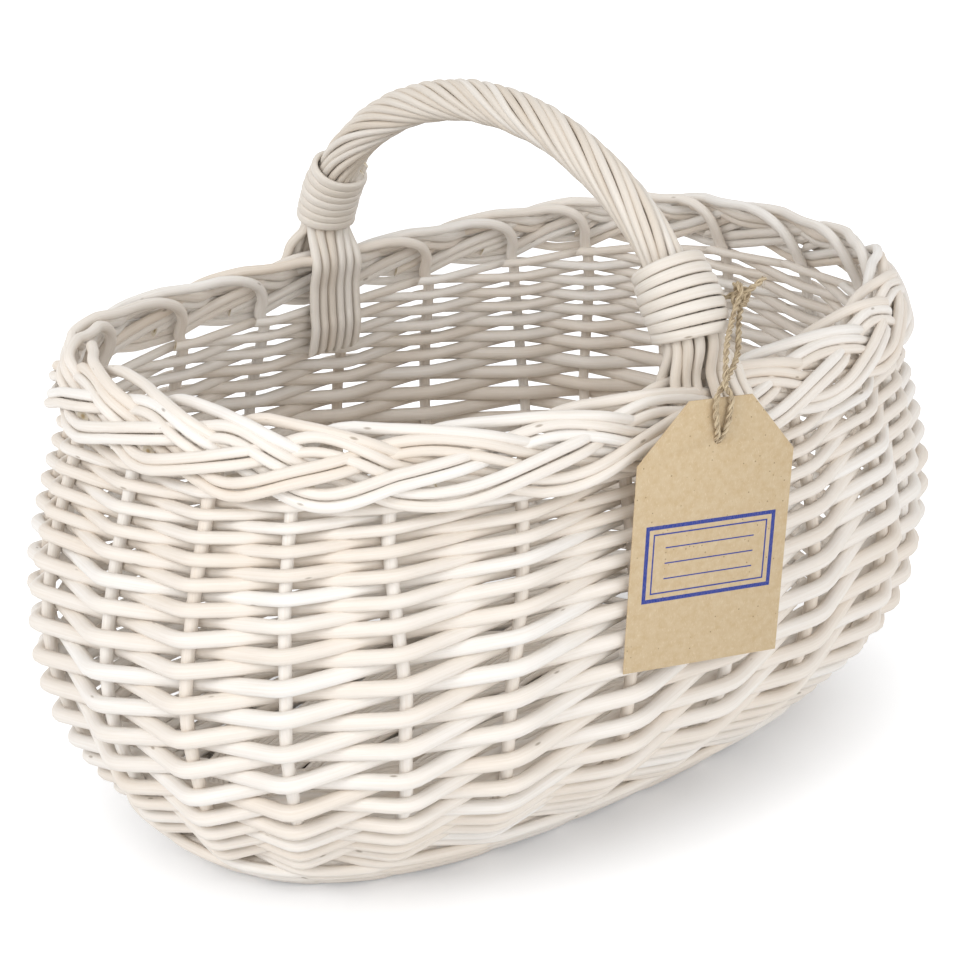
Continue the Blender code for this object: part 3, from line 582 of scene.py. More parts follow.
def printed_frame(tree, spot):
    """1 where the card is printed: a thick frame with a thin one inside it, and three ruled lines."""
    middle, half_width, half_height = 0.0525, 0.0305, 0.0165
    half_rule, rule_step, rule_thickness = 0.0215, 0.0070, 0.0003
    place = add_node(tree, "ShaderNodeSeparateXYZ", Vector=spot)
    across = calc(tree, "ABSOLUTE", place.outputs[0])
    upward = calc(tree, "ABSOLUTE", calc(tree, "ADD", place.outputs[1], middle))
    edge = calc(tree, "MAXIMUM", calc(tree, "SUBTRACT", across, half_width),
                calc(tree, "SUBTRACT", upward, half_height))
    marks = []
    for inset, thickness in ((0.0, 0.0009), (0.0032, 0.00035)):
        gap = calc(tree, "ABSOLUTE", calc(tree, "ADD", edge, inset))
        marks.append(calc(tree, "LESS_THAN", gap, thickness))
    for line in (rule_step, 0.0, -rule_step):
        gap = calc(tree, "ABSOLUTE", calc(tree, "ADD", place.outputs[1], middle + line))
        marks.append(calc(tree, "MULTIPLY", calc(tree, "LESS_THAN", gap, rule_thickness),
                          calc(tree, "LESS_THAN", across, half_rule)))
    printed = marks[0]
    for mark in marks[1:]:
        printed = calc(tree, "MAXIMUM", printed, mark)
    return calc(tree, "MULTIPLY", printed, calc(tree, "GREATER_THAN", place.outputs[2], 0.0))


def kraft_card(name, card, dark, ink):
    """Unbleached card pressed from brown paper pulp: matt, with fibres, flecks and a print in blue ink."""
    made, tree = new_finish(name)
    spot = kept_value(tree, "card")
    # Pulp clouds 4 mm across
    clouds = noise(tree, spot, (260.0,) * 3, 4.0, 0.65)
    colour = mix(tree, remap(tree, clouds, (0.35, 0.75), (0.0, 0.55)), opaque(card), opaque(dark))
    # Fibres 0.3 mm wide and 2 mm long, bent to and fro
    bent = noise(tree, spot, (150.0,) * 3, 1.0, output="Color")
    moved = calc_vector(tree, "MULTIPLY_ADD", bent, (0.004, 0.004, 0.0), spot)
    fibres = noise(tree, moved, (3200.0, 520.0, 1.0), 2.0)
    colour = mix(tree, remap(tree, fibres, (0.58, 0.70), (0.0, 0.35)), colour, opaque(linear("#e6d6b8")))
    # Brown flecks about 0.6 mm across
    fleck = calc(tree, "MULTIPLY", speckle(tree, spot, (520.0,) * 3, (0.10, 0.22), 0.86), 0.65)
    colour = mix(tree, fleck, colour, opaque(linear("#6f5636")))
    worn = remap(tree, fibres, (0.3, 0.6), (0.80, 0.97))
    colour = mix(tree, calc(tree, "MULTIPLY", printed_frame(tree, spot), worn), colour, opaque(ink))
    relief = bump(tree, calc(tree, "ADD", fibres, clouds), 0.3, 0.00008)
    close_finish(tree, Base_Color=colour, Roughness=0.86, Specular_IOR_Level=0.25, Normal=relief)
    return made


def jute(name, pale, dark):
    """Two-ply jute: coarse dull fibres, some paler than others, that run along each ply."""
    made, tree = new_finish(name)
    # Fibres 0.15 mm wide, drawn at 0.25 mm
    fibres = noise(tree, kept_value(tree, "grain"), (4200.0, 4200.0, 300.0), 3.0)
    colour = mix(tree, remap(tree, fibres, (0.35, 0.65), (0.0, 1.0)), opaque(dark), opaque(pale))
    close_finish(tree, Base_Color=colour, Roughness=0.85, Specular_IOR_Level=0.3,
                 Normal=bump(tree, fibres, 0.5, 0.0001))
    return made


FINISHES = {}


def finishes():
    """Makes each finish once and hands out the same one afterwards."""
    if not FINISHES:
        c = bpy.context.scene.basket_finishes
        FINISHES["siding"] = peeled_willow("peeled_willow", c.pale, c.warm, c.speck, 0.46)
        FINISHES["stake"] = peeled_willow("peeled_willow_stakes", c.pale, c.warm, c.speck, 0.48)
        # The handle's finish is a darker copy of the willow, which is painted shade
        FINISHES["handle"] = peeled_willow("peeled_willow_handle_painted_shade", c.shaded_handle_pale, c.shaded_handle_warm, c.speck,
                                           0.44)
        FINISHES["cut"] = cut_willow("cut_willow", c.cut, c.pith)
        FINISHES["card"] = kraft_card("kraft_card", c.card, c.card_dark, c.ink)
        FINISHES["jute"] = jute("jute_twine", c.twine_pale, c.twine_dark)
    return FINISHES


# Base

# The base is domed between its edges, and its long sticks fan out towards their ends
BASE_INSET = 0.0074
BASE_LIFT = 0.0008
BASE_CROWN = 0.004
FAN_START, FAN_LENGTH, FAN_SPREAD = 0.11, 0.045, 1.1
LONG_STICKS = (-0.0085, 0.0, 0.0085)
LONG_STICK_SHORTER = 0.006
CROSS_STICK_SHORTER = 0.003


def fanned(x):
    """How many times further apart the long sticks lie than in the middle of the base."""
    return 1.0 + FAN_SPREAD * np.clip((np.abs(x) - FAN_START) / FAN_LENGTH, 0.0, 1.0)


class BASKET_OT_weave_base(bpy.types.Operator):
    """Lay the base sticks and weave the base round them with a pair of rods"""
    bl_idname = "basket.weave_base"
    bl_label = "Weave base"

    def execute(self, context):
        sizes = context.scene.basket_weave
        half_length = BELLY_LENGTH * float(along_table(LEVEL_SHARES, LENGTH_SHARES, FOOT_LEVEL))
        half_width = BELLY_WIDTH * float(along_table(LEVEL_SHARES, WIDTH_SHARES, FOOT_LEVEL))
        beside = sizes.base_stick / 2 + sizes.stake / 2 + 0.001
        cross = sorted(float(oval(half_length, half_width, turn)[0]) - beside for turn in TURNS
                       if turn < math.pi and by_cross_stick(turn))
        edge = (half_length - BASE_INSET, half_width - BASE_INSET)
        self.lay_sticks(sizes, cross, *edge)
        self.weave_pair(sizes, cross, *edge)
        return {"FINISHED"}

    def dome(self, y, half_width):
        share = np.minimum(1.0, np.abs(y) / half_width)
        return BASE_HEIGHT + BASE_LIFT + BASE_CROWN * (1.0 - share ** 2)

    def lay_sticks(self, sizes, cross, half_length, half_width):
        rng = np.random.default_rng(11)
        rods = []
        for index, x in enumerate(cross):
            oval_share = (1.0 - (abs(x) / half_length) ** OVAL_POWER) ** (1.0 / OVAL_POWER)
            reach = (half_width - CROSS_STICK_SHORTER) * oval_share
            y = np.linspace(-reach, reach, 25)
            stray = wandering(25, 0.0006, 40 + index, 4)
            line = np.stack([np.full(25, x) + stray, y, self.dome(y, half_width)], axis=1)
            rods.append((f"base_cross_stick_{index + 1}", line))
        tip = half_length - LONG_STICK_SHORTER
        for index, apart in enumerate(LONG_STICKS):
            x = np.linspace(-tip, tip, 41)
            y = apart * fanned(x)
            rods.append((f"base_long_stick_{index + 1}", np.stack([x, y, self.dome(y, half_width)], axis=1)))
        for index, (name, line) in enumerate(rods):
            add_rod(name, line, sizes.base_stick / 2, "stake", rng.uniform(0.2, 0.8),
                    ["base_sticks"] if index == 0 else (), slant=(0.6, 0.6))

    def weave_pair(self, sizes, cross, half_length, half_width):
        """Weaves two rods from the middle out to the edge, one over each stick where the other is under."""
        pitch = sizes.base_weaver * 1.08
        in_width = 0.0135
        rounds = (half_width - in_width) / pitch
        in_length = half_length - (half_width - in_width) * 0.62
        turn = np.linspace(0.0, 2 * math.pi * rounds, int(rounds * 190))
        share = turn / turn[-1]
        x, y = oval(in_length + (half_length - in_length) * share,
                    in_width + (half_width - in_width) * share, turn)
        # Where the rods meet a stick: nearer the middle than this, only the cross sticks count
        bare = 0.09
        meets = []
        for place in range(1, len(turn)):
            for stick in cross:
                if (x[place] - stick) * (x[place - 1] - stick) < 0:
                    meets.append(place)
            for stick in LONG_STICKS:
                bent = stick * fanned(x[place])
                if abs(x[place]) > bare and (y[place] - bent) * (y[place - 1] - bent) < 0:
                    meets.append(place)
        meets = np.array(sorted(set(meets)))
        phase = np.interp(np.arange(len(turn)), meets, np.arange(len(meets)) * math.pi)
        lift = sizes.base_stick / 2 + sizes.base_weaver / 2 - 0.0004
        lowest = sizes.base_weaver / 2 + 0.0002
        ahead = unit(np.stack([np.gradient(x), np.gradient(y)], axis=1))
        for index, sign in enumerate((1.0, -1.0)):
            aside = 0.0007 * np.sin(phase) * sign
            z = np.maximum(self.dome(y, half_width) + lift * np.cos(phase) * sign, lowest)
            line = np.stack([x + ahead[:, 1] * aside, y - ahead[:, 0] * aside, z], axis=1)
            add_rod(f"base_weaver_{index + 1}", line, sizes.base_weaver / 2, "siding", 0.45 + 0.25 * index,
                    ["base_mat"] if index == 0 else (), sides=8)


# Side stakes and border

def border_face(turn, sweep, layer):
    """Points of the border: sweep is up its leaning face, layer out of it."""
    x, y = oval(BORDER_LENGTH, BORDER_WIDTH, turn)
    centre = np.stack([x, y, WALL_HEIGHT - BORDER_DROP + END_LIFT * (x / BORDER_LENGTH) ** 2], axis=-1)
    step = 0.01
    ahead_x, ahead_y = oval(BORDER_LENGTH, BORDER_WIDTH, turn + step)
    behind_x, behind_y = oval(BORDER_LENGTH, BORDER_WIDTH, turn - step)
    out = unit(np.stack([ahead_y - behind_y, behind_x - ahead_x, np.zeros_like(x)], axis=-1))
    up = np.array([0.0, 0.0, 1.0])
    face = up * math.cos(BORDER_LEAN) - out * math.sin(BORDER_LEAN)
    normal = out * math.cos(BORDER_LEAN) + up * math.sin(BORDER_LEAN)
    return centre + face * np.asarray(sweep)[..., None] + normal * np.asarray(layer)[..., None]


def eased(places, values, at):
    """Values between places, level at each place."""
    left = np.clip(np.searchsorted(places, at, side="right") - 1, 0, len(places) - 2)
    share = np.clip((at - places[left]) / (places[left + 1] - places[left]), 0.0, 1.0)
    return values[left] + (values[left + 1] - values[left]) * smooth_step(share)


def strand_layer(phase, wave):
    """Depth of a strand: it goes up over those that come down and under the last, and down the other way."""
    top = wave / 2
    places = np.array([0.0, 0.35, top - 0.80, top - 0.45, top, top + 0.45, top + 0.90, wave - 0.35, wave])
    values = np.array([0.0, 1.0, 1.0, -1.0, 0.3, 1.0, -1.0, -1.0, 0.0])
    return eased(places, values, np.mod(phase, wave))


def smooth_through(knots, count):
    """Points of a smooth line through a few places."""
    knots = np.asarray(knots, float)
    length = run_along(knots)
    at = np.linspace(0.0, length[-1], count)
    return each_axis(lambda values: along_table(length, values, at), knots)


def bridge(before, knots, after, count):
    """Points that lead smoothly from the end of one line, through a few places, to the start of the next."""
    places = np.concatenate([before[-2:], knots, after[:2]])
    length = run_along(places)
    at = np.linspace(length[1], length[-2], count + 2)[1:-1]
    return each_axis(lambda values: along_table(length, values, at), places)


# Where a stake leaves the wall for the plait: stake spaces to the right, then height and depth on the face
RISE_PLACES = np.array((0.02, 0.05, 0.15, 0.36))
RISE_SWEEPS = np.array((-0.0085, 0.0020, 0.0100, 0.0150))
RISE_LAYERS = np.array((-0.0077, -0.0080, -0.0074, -0.0060))

# The plait: lengths along the border in stake spaces, depths in metres
STAKE_SPACE = 0.0575
PLAIT_START = -0.63
PLAIT_ENTRY = 0.75
PLAIT_SHIFT = 1.25
PLAIT_WAVES = 2.25
PLAIT_STEP = 0.085
ENTRY_DEPTH = 0.0046
FACE_CROWN, FACE_HALF = 0.0014, 0.018


class BASKET_OT_set_stakes(bpy.types.Operator):
    """Set the side stakes in the base, and plait their ends into the border"""
    bl_idname = "basket.set_stakes"
    bl_label = "Set stakes and border"

    def execute(self, context):
        sizes = context.scene.basket_weave
        in_base, up_wall, to_plait = 8, 32, 22
        for stake in range(STAKES):
            rng = np.random.default_rng(100 + stake)
            turn = TURNS[stake]
            level = np.linspace(FOOT_LEVEL, STAKE_TOP, up_wall)
            sway = wandering(up_wall, 0.012, 300 + stake, 6) * np.clip((level - FOOT_LEVEL) * 8, 0.0, 1.0)
            upright = wall(turn_at(leaning(stake, level) + sway), level)
            if by_cross_stick(turn):
                inward = np.array([0.0, -math.copysign(1.0, math.sin(turn)), 0.0])
            else:
                inward = -wall_out(turn, 0.3)
                inward[2] = 0.0
                inward = unit(inward)
            leg = upright[0] + inward * np.linspace(0.034, 0.003, in_base)[:, None]
            leg[:, 2] = BASE_HEIGHT + np.linspace(0.0012, 0.0, in_base)
            plait, thick = self.plait(stake, sizes, rng)
            # Behind the plait the stake goes on up, and bends to the right at the top edge
            rise = border_face(turn_at(stake + RISE_PLACES), RISE_SWEEPS, RISE_LAYERS)
            line = np.concatenate([leg, upright, bridge(upright, rise, plait, to_plait), plait])
            radii = np.concatenate([np.full(in_base + up_wall, sizes.stake / 2),
                                    np.linspace(sizes.stake, thick[0], to_plait) / 2, thick / 2])
            radii = radii * (1.0 + wandering(len(radii), 0.02, 700 + stake, 30))
            add_rod(f"side_stake_{stake + 1:02d}", line, radii, "stake", rng.uniform(0.0, 0.85),
                    [f"stake_{stake + 1:02d}"], slant=(0.3, 0.9), start=stake)
        return {"FINISHED"}

    def plait(self, stake, sizes, rng):
        """The stake's way through the border: down the face three times and up it twice."""
        wave = sizes.border_wave
        run = np.arange(PLAIT_START, PLAIT_WAVES * wave + rng.uniform(-0.15, 0.15), PLAIT_STEP)
        width = sizes.border_rod * 0.99
        # Its first way down starts flat along the top edge
        phase = np.where(run < 1.0, run + 0.237 * (1.0 - run) ** 2, run)
        sharper = 0.09
        swing = np.cos(2 * math.pi * phase / wave) + sharper * np.cos(6 * math.pi * phase / wave)
        sweep = sizes.border_sweep * (swing / (1.0 + sharper))
        tilt = np.arctan(np.gradient(sweep, run * STAKE_SPACE))
        # Each wave of the stake lies in a lane of its own, so that the rods read as pairs
        lane = (run - wave / 4) / wave - 1.0
        strayed = wandering(len(run), sizes.wander, 500 + stake, 22)
        place = stake + PLAIT_SHIFT + run + lane * width * np.sin(tilt) / STAKE_SPACE
        sweep = sweep - lane * width * np.cos(tilt) - 0.0025 + strayed
        layer = sizes.border_layer * strand_layer(run + wave / 2, wave)
        layer = layer + FACE_CROWN * (1.0 - np.clip(sweep / FACE_HALF, -1.0, 1.0) ** 2) + strayed * 0.5
        entry = smooth_step(np.clip((run - PLAIT_START) / PLAIT_ENTRY, 0.0, 1.0))
        layer = layer * entry - ENTRY_DEPTH * (1.0 - entry)
        thick = np.linspace(sizes.border_rod, sizes.border_tip, len(run))
        return border_face(turn_at(place), sweep, layer), thick


# Upsett and siding

WALL_LEVELS = np.linspace(FOOT_LEVEL, 1.0, 400)
SIDE_RUN = np.linalg.norm(np.diff(wall(-math.pi / 2, WALL_LEVELS), axis=0), axis=1)
END_RUN = np.linalg.norm(np.diff(wall(0.0, WALL_LEVELS), axis=0), axis=1)
WALL_RUN = np.concatenate([[0.0], np.cumsum(np.minimum(SIDE_RUN, END_RUN))])


def level_at(distance):
    """Levels that lie a distance up the wall from its foot."""
    return np.interp(distance, WALL_RUN, WALL_LEVELS)


class BASKET_OT_weave_upsett(bpy.types.Operator):
    """Weave three rounds of a three-rod wale round the foot of the stakes"""
    bl_idname = "basket.weave_upsett"
    bl_label = "Weave upsett"

    def execute(self, context):
        sizes = context.scene.basket_weave
        rounds, step_up, pitch = 3, 2.0, 0.00465
        offset = sizes.stake / 2 + sizes.wale / 2 - 0.0001
        # A rod passes in front of two stakes and behind the third
        phases = np.arange(7.0) * math.pi / 3
        line_shares = np.array([0.5, 0.0, -0.5, -0.5, 0.0, 0.5, 0.5])
        depth_shares = np.array([1.0, 1.0, 1.0, -0.1, -1.0, -0.1, 1.0])
        blur = np.hanning(7) / np.hanning(7).sum()
        radius = sizes.wale / 2
        for index in range(3):
            place = np.arange(index, rounds * STAKES - step_up - index + 1e-6, 0.1)
            whole = np.floor(place / STAKES)
            share = np.clip((place % STAKES - (STAKES - step_up)) / step_up, 0.0, None)
            phase = (2 * math.pi * (place - index) / 3) % (2 * math.pi)
            line = 2.0 * (whole + share) + np.interp(phase, phases, line_shares)
            depth = offset * np.interp(phase, phases, depth_shares)
            depth[3:-3] = np.convolve(depth, blur, mode="valid")
            line[3:-3] = np.convolve(line, blur, mode="valid")
            level = level_at((line + 0.5) * pitch)
            turn = turn_at(place)
            depth = depth + wandering(len(place), 0.0002, 60 + index, 90)
            path = wall(turn, level) + wall_out(turn, level) * depth[:, None]
            path[:, 2] = np.maximum(path[:, 2], radius * 0.98)
            add_rod(f"upsett_weaver_{index + 1}", path, radius, "siding", 0.3 + 0.2 * index,
                    [f"upsett_rod_{index + 1}"], sides=10, slant=(0.9, 0.9), start=3.0 * index)
        return {"FINISHED"}


class BASKET_OT_weave_siding(bpy.types.Operator):
    """Weave one tapering randing rod for each stake, from the upsett to the border"""
    bl_idname = "basket.weave_siding"
    bl_label = "Weave siding"

    def execute(self, context):
        sizes = context.scene.basket_weave
        last = sizes.strokes - 1
        start = float(level_at(SIDING_START))
        stroke = np.arange(-1, sizes.strokes + 1)
        strokes = SIDING_STROKES * last / SIDING_STROKES[-1]
        rises = sizes.rise * np.interp(stroke, strokes, RISE_SHARES)
        climb = np.cumsum(rises) - rises[0] - rises[1] / 2
        thick = sizes.tip + (sizes.butt - sizes.tip) * np.interp(stroke, strokes, THICK_SHARES)
        fine = np.linspace(-1.0, sizes.strokes, (sizes.strokes + 1) * 24 + 1)
        blur = np.hanning(11)[1:-1]
        blur = blur / blur.sum()
        # Each end stands out a little past its last stake
        run = np.arange(-0.17, last + 0.18, 1 / 12)
        for weaver in range(STAKES):
            rng = np.random.default_rng(200 + weaver)
            level = start + (climb + rng.normal(0.0, sizes.wander, len(stroke))) / WALL_HEIGHT
            # The rod lies straight from stake to stake, and bends only round each one
            reach = (sizes.stake + thick) / 2 + rng.normal(0.0, sizes.wander * 0.5, len(stroke))
            depth = np.where(stroke % 2 == 0, -1.03, 1.03) * reach
            turn = turn_at(leaning(weaver + stroke, level))
            corners = wall(turn, level) + wall_out(turn, level) * depth[:, None]
            straight = each_axis(lambda values: np.interp(fine, stroke, values), corners)
            bent = each_axis(lambda values: np.convolve(values, blur, mode="valid"), straight)
            path = each_axis(lambda values: np.interp(run, fine[4:-4], values), bent)
            radii = np.interp(run, stroke, thick) / 2 * (1.0 + wandering(len(run), 0.022, 900 + weaver, 34))
            add_rod(f"siding_weaver_{weaver + 1:02d}", path, radii, "siding", rng.uniform(0.0, 0.8),
                    [f"siding_rod_{weaver + 1:02d}"], slant=(0.8, 0.8), start=weaver * 2.0)
        return {"FINISHED"}


# Handle

SIDE = np.array([1.0, 0.0, 0.0])
# From which share of the half span to which the back leg comes half way back to its course
LEG_START, LEG_END = 0.8, 0.96


def bow(angle):
    """Centre and outward normal of the bow at its angles."""
    angle = np.asarray(angle, float)

    def point(at):
        even = np.stack([np.zeros_like(at), BOW_SHIFT * np.sin(at) - BOW_SPAN * np.cos(at),
                         BOW_SPRING + (BOW_APEX - BOW_SPRING) * np.sin(at)], axis=-1)
        # The back leg is off its even course most beside its lashing, and half as much at its foot
        behind = -np.cos(at)
        off = np.clip(behind / math.cos(LASHING_HIGH), 0.0, 1.0) ** 1.5
        off = off * (1.0 - 0.5 * np.clip((behind - LEG_START) / (LEG_END - LEG_START), 0.0, 1.0))
        return even + off[..., None] * BACK_LEG_OFF

    tangent = unit(point(angle + 0.01) - point(angle - 0.01))
    normal = unit(np.stack([np.zeros_like(angle), -tangent[..., 2], tangent[..., 1]], axis=-1))
    return point(angle), normal


def round_bow(normal, around, outward, sideways):
    """Ways from the middle of the bow at angles round it, with how far they reach outward and sideways."""
    return normal * (np.cos(around) * outward)[:, None] + SIDE * (np.sin(around) * sideways)[:, None]


def foot_of_bow(angle, end):
    """The bow near its front foot, or at the same height above the back one."""
    return bow(angle if end == "front" else math.pi - np.asarray(angle, float))


class BASKET_OT_rope_handle(bpy.types.Operator):
    """Rope thin rods round the bow, from the lashing at one foot to the other"""
    bl_idname = "basket.rope_handle"
    bl_label = "Rope handle"

    def execute(self, context):
        sizes = context.scene.basket_handle
        angle = np.linspace(NECK_ANGLE, math.pi - NECK_ANGLE, 90)
        # The bow rod is pared down where it goes into the lashings
        slim = 1.0 - 0.3 * np.clip((np.abs(np.degrees(angle) - 90.0) - 60.0) / 6.0, 0.0, 1.0)
        add_rod("handle_bow", bow(angle)[0], sizes.core / 2 * slim, "handle", 0.9, ["handle_rods"])
        samples = 190
        # The roped rods end inside the lashings
        share = np.linspace(0.0233, 0.94, samples)
        centre, normal = bow(NECK_ANGLE + (math.pi - 2 * NECK_ANGLE) * share)
        ease = share - np.sin(2 * math.pi * share) / (2 * math.pi) * 0.55
        twist = 2 * math.pi * sizes.turns * ease
        swell = np.clip(np.sin(math.pi * share), 0.0, 1.0) ** 0.35
        for index in range(sizes.strands):
            rng = np.random.default_rng(1500 + index)
            thick = sizes.strand * rng.uniform(0.94, 1.08)
            around = 2 * math.pi * index / sizes.strands + twist + wandering(samples, 0.05, 1600 + index, 12)
            reach = sizes.reach - 0.0005 * (1.0 - swell) + wandering(samples, 0.00022, 1700 + index, 14)
            line = centre + round_bow(normal, around, reach, reach)
            add_rod(f"handle_strand_{index + 1:02d}", line, thick / 2, "handle", rng.uniform(0.0, 0.9),
                    start=index * 1.7)
        return {"FINISHED"}


# The rod ends at each foot: their groups, how many rods each has, and what its seeds start from
FOOT_GROUPS = (("inner", 6, 0), ("middle", 3, 15), ("outer", 4, 30))
FOOT_SAMPLES = 44
BACK_SEEDS = 60
RIM_TOP = 0.0165
# Half the width and depth of the ring in which they stand, and behind also where they stand out at the top
RINGS = {"front": (0.0115, 0.0115), "back": (0.0104, 0.0074)}
BACK_TOP_RING = (0.01216, -0.009472)
MID_LASHING = math.radians(21.0)


class BASKET_OT_lead_feet(bpy.types.Operator):
    """Lead the rod ends of the handle down the inside, the middle and the outside of the border"""
    bl_idname = "basket.lead_feet"
    bl_label = "Lead handle feet"

    def execute(self, context):
        sizes = context.scene.basket_handle
        for end in ("front", "back"):
            for group, count, first_seed in FOOT_GROUPS:
                for rank in range(count):
                    seed = 1900 + rank + first_seed + (0 if end == "front" else BACK_SEEDS)
                    self.lead_rod(sizes, end, group, rank, np.random.default_rng(seed))
        return {"FINISHED"}

    def below_neck(self, group, rank, turn, pitch):
        """A rod end's place in its ring, in radians from the inner or outer side, and its way down."""
        if group == "inner":
            x = (rank - 2.5) * pitch
            rim = border_face(np.full(3, turn), np.array((RIM_TOP, 0.004, -0.008)),
                              np.array((-0.0092, -0.0125, -0.0180)))
            rim[:, 0] = x * np.array((1.0, 1.02, 1.04))
            low = np.array((0.89, 0.83))
            inside = wall(turn, low) - wall_out(turn, low) * 0.0098
            inside[:, 0] = x * 1.04
            return math.radians(-72.0 + 28.8 * rank), np.concatenate([rim, inside])
        if group == "middle":
            deep = np.array((0.0026, 0.0004, -0.0040)) + rank * np.array((0.0012, 0.0012, 0.0004))
            rim = border_face(np.full(3, turn), np.array((RIM_TOP, 0.006, -0.006)), deep)
            rim[:, 0] = -0.0142 + rank * pitch
            return math.radians(-80.0 + 28.0 * rank), rim
        low = (-0.0125, -0.0150, -0.0115, -0.0140)[rank]
        rim = border_face(np.full(5, turn), np.linspace(RIM_TOP, low, 5),
                          np.array((0.0096, 0.0088, 0.0084, 0.0070, 0.0028)))
        spread = np.array((0.0, 0.0006, 0.0018, 0.0036, 0.0058)) * (0.5 + 0.6 * rank)
        rim[:, 0] = (0.0006 + rank * pitch) + spread
        return math.radians(2.0 + 28.0 * rank), rim

    def lead_rod(self, sizes, end, group, rank, rng):
        front = end == "front"
        turn = -math.pi / 2 if front else math.pi / 2
        outward = math.copysign(1.0, turn)
        around, below = self.below_neck(group, rank, turn, sizes.foot * 1.02)
        below[:, 0] = -outward * below[:, 0] + (0.0 if front else BACK_LEG_OFF[0])
        high = LASHING_HIGH - math.radians(4.0 if front else 9.5)
        # The inner ends stand out at the top, and behind only those at one side
        if group == "inner" and (front or rank < 3):
            high = LASHING_HIGH + math.radians(rng.uniform(0.5, 3.0) + (0.0 if front else 1.2))
        wide, deep = RINGS[end]
        deep = deep * {"inner": -1.0, "middle": 0.8, "outer": 1.0}[group]
        knots = []
        for angle in (high, MID_LASHING, NECK_ANGLE):
            centre, normal = foot_of_bow(angle, end)
            ring_wide, ring_deep, aim = wide, deep, around
            if angle > LASHING_HIGH and not front:
                ring_wide, ring_deep = BACK_TOP_RING
                aim = math.radians(-84.0 + 23.0 * rank)
            knots.append(centre + normal * (ring_deep * math.cos(aim))
                         - SIDE * (ring_wide * outward * math.sin(aim)))
        line = smooth_through(np.concatenate([knots, below]), FOOT_SAMPLES)
        radii = sizes.foot / 2 * np.linspace(1.0, 0.92, FOOT_SAMPLES)
        add_rod(f"handle_foot_{end}_{group}_{rank + 1}", line, radii, "handle", rng.uniform(0.0, 0.8),
                slant=(0.5, 1.0), start=rank * 0.9)


class BASKET_OT_bind_lashings(bpy.types.Operator):
    """Wind a rod flat round each foot of the handle"""
    bl_idname = "basket.bind_lashings"
    bl_label = "Bind lashings"

    def execute(self, context):
        sizes = context.scene.basket_handle
        wood = [finishes()["handle"], finishes()["cut"]]
        turns = sizes.lashing_turns
        count = turns * 44
        half = sizes.lashing_depth / 2
        share = np.linspace(0.0, 1.0, count)
        # Both ends are tucked in under the turns
        tuck = 0.0026 * np.clip(1.0 - np.minimum(share, 1.0 - share) / 0.03, 0.0, 1.0) ** 2
        rise = np.sin(math.pi * np.clip(share * 1.1, 0.0, 1.0))
        for end, way, begin in (("front", -1.0, 200.0), ("back", 1.0, 20.0)):
            centre, normal = foot_of_bow(LASHING_LOW + (LASHING_HIGH - LASHING_LOW) * share, end)
            around = way * 2 * math.pi * turns * share + math.radians(begin)
            if end == "front":
                swell = 0.0011 * rise
                outer = 0.0142 + swell - 0.0014 * share + half
                inner = 0.0140 + swell + half
                side = inner
            else:
                # Narrower, and wider again at its top where rod ends stand out
                swell = 0.0004 * rise
                ends = np.exp(-((np.mod(around, 2 * math.pi) - math.radians(122.0)) / 0.75) ** 2)
                ends = ends * 0.0026 * share ** 2
                outer = 0.0096 + swell + half
                inner = 0.0097 + swell + ends + half
                side = 0.0134 - 0.0027 * share + swell + ends + half
            stray = 1.0 + wandering(count, 0.012, 2100, 30)
            reach = (np.where(np.cos(around) > 0, outer, inner) - tuck) * stray
            side = (side - tuck) * stray
            line = centre + round_bow(normal, around, reach, side)
            thick = sizes.lashing * (1.0 + wandering(count, 0.02, 2200, 20))
            made = bend_rod(f"lashing_band_{end}", line, thick / 2, wood, 0.25, slant=(0.5, 0.5))
            press_flat(made, line, centre, thick / 2, half)
            finish_piece(made, [f"lashing_{end}"])
        return {"FINISHED"}


def press_flat(made, line, core, radii, half, squareness=1.7):
    """Presses a wound rod flat against what it is wound round."""
    spots = vertex_spots(made.data)
    nearest = np.array([((line - spot) ** 2).sum(-1).argmin() for spot in spots])
    outward = unit(line[nearest] - core[nearest])
    off = ((spots - line[nearest]) * outward).sum(-1)
    part = np.clip(off / radii[nearest], -1.0, 1.0)
    flat = np.sign(part) * (1.0 - (1.0 - np.abs(part)) ** squareness) * half
    spots += outward * (flat - off)[:, None]
    made.data.vertices.foreach_set("co", spots.ravel())
    made.data.update()


# Tag and twine

UP = Vector((0.0, 0.0, 1.0))
TAG_ACROSS = Vector((math.cos(TAG_TURN), -math.sin(TAG_TURN), 0.0))
TAG_OUT = TAG_ACROSS.cross(UP)
TAG_RIGHT = TAG_ACROSS * math.cos(TAG_ROLL) - UP * math.sin(TAG_ROLL)
TAG_UP = UP * math.cos(TAG_ROLL) + TAG_ACROSS * math.sin(TAG_ROLL)
TAG_FRAME = Matrix.Translation(TAG_HOLE) @ Matrix((TAG_RIGHT, TAG_UP, TAG_OUT)).transposed().to_4x4()
CARD_BEVEL = 0.00012


def on_card(x, y, z):
    """A point given across, up and out from the hole of the card."""
    return np.array(TAG_FRAME @ Vector((x, y, z)))


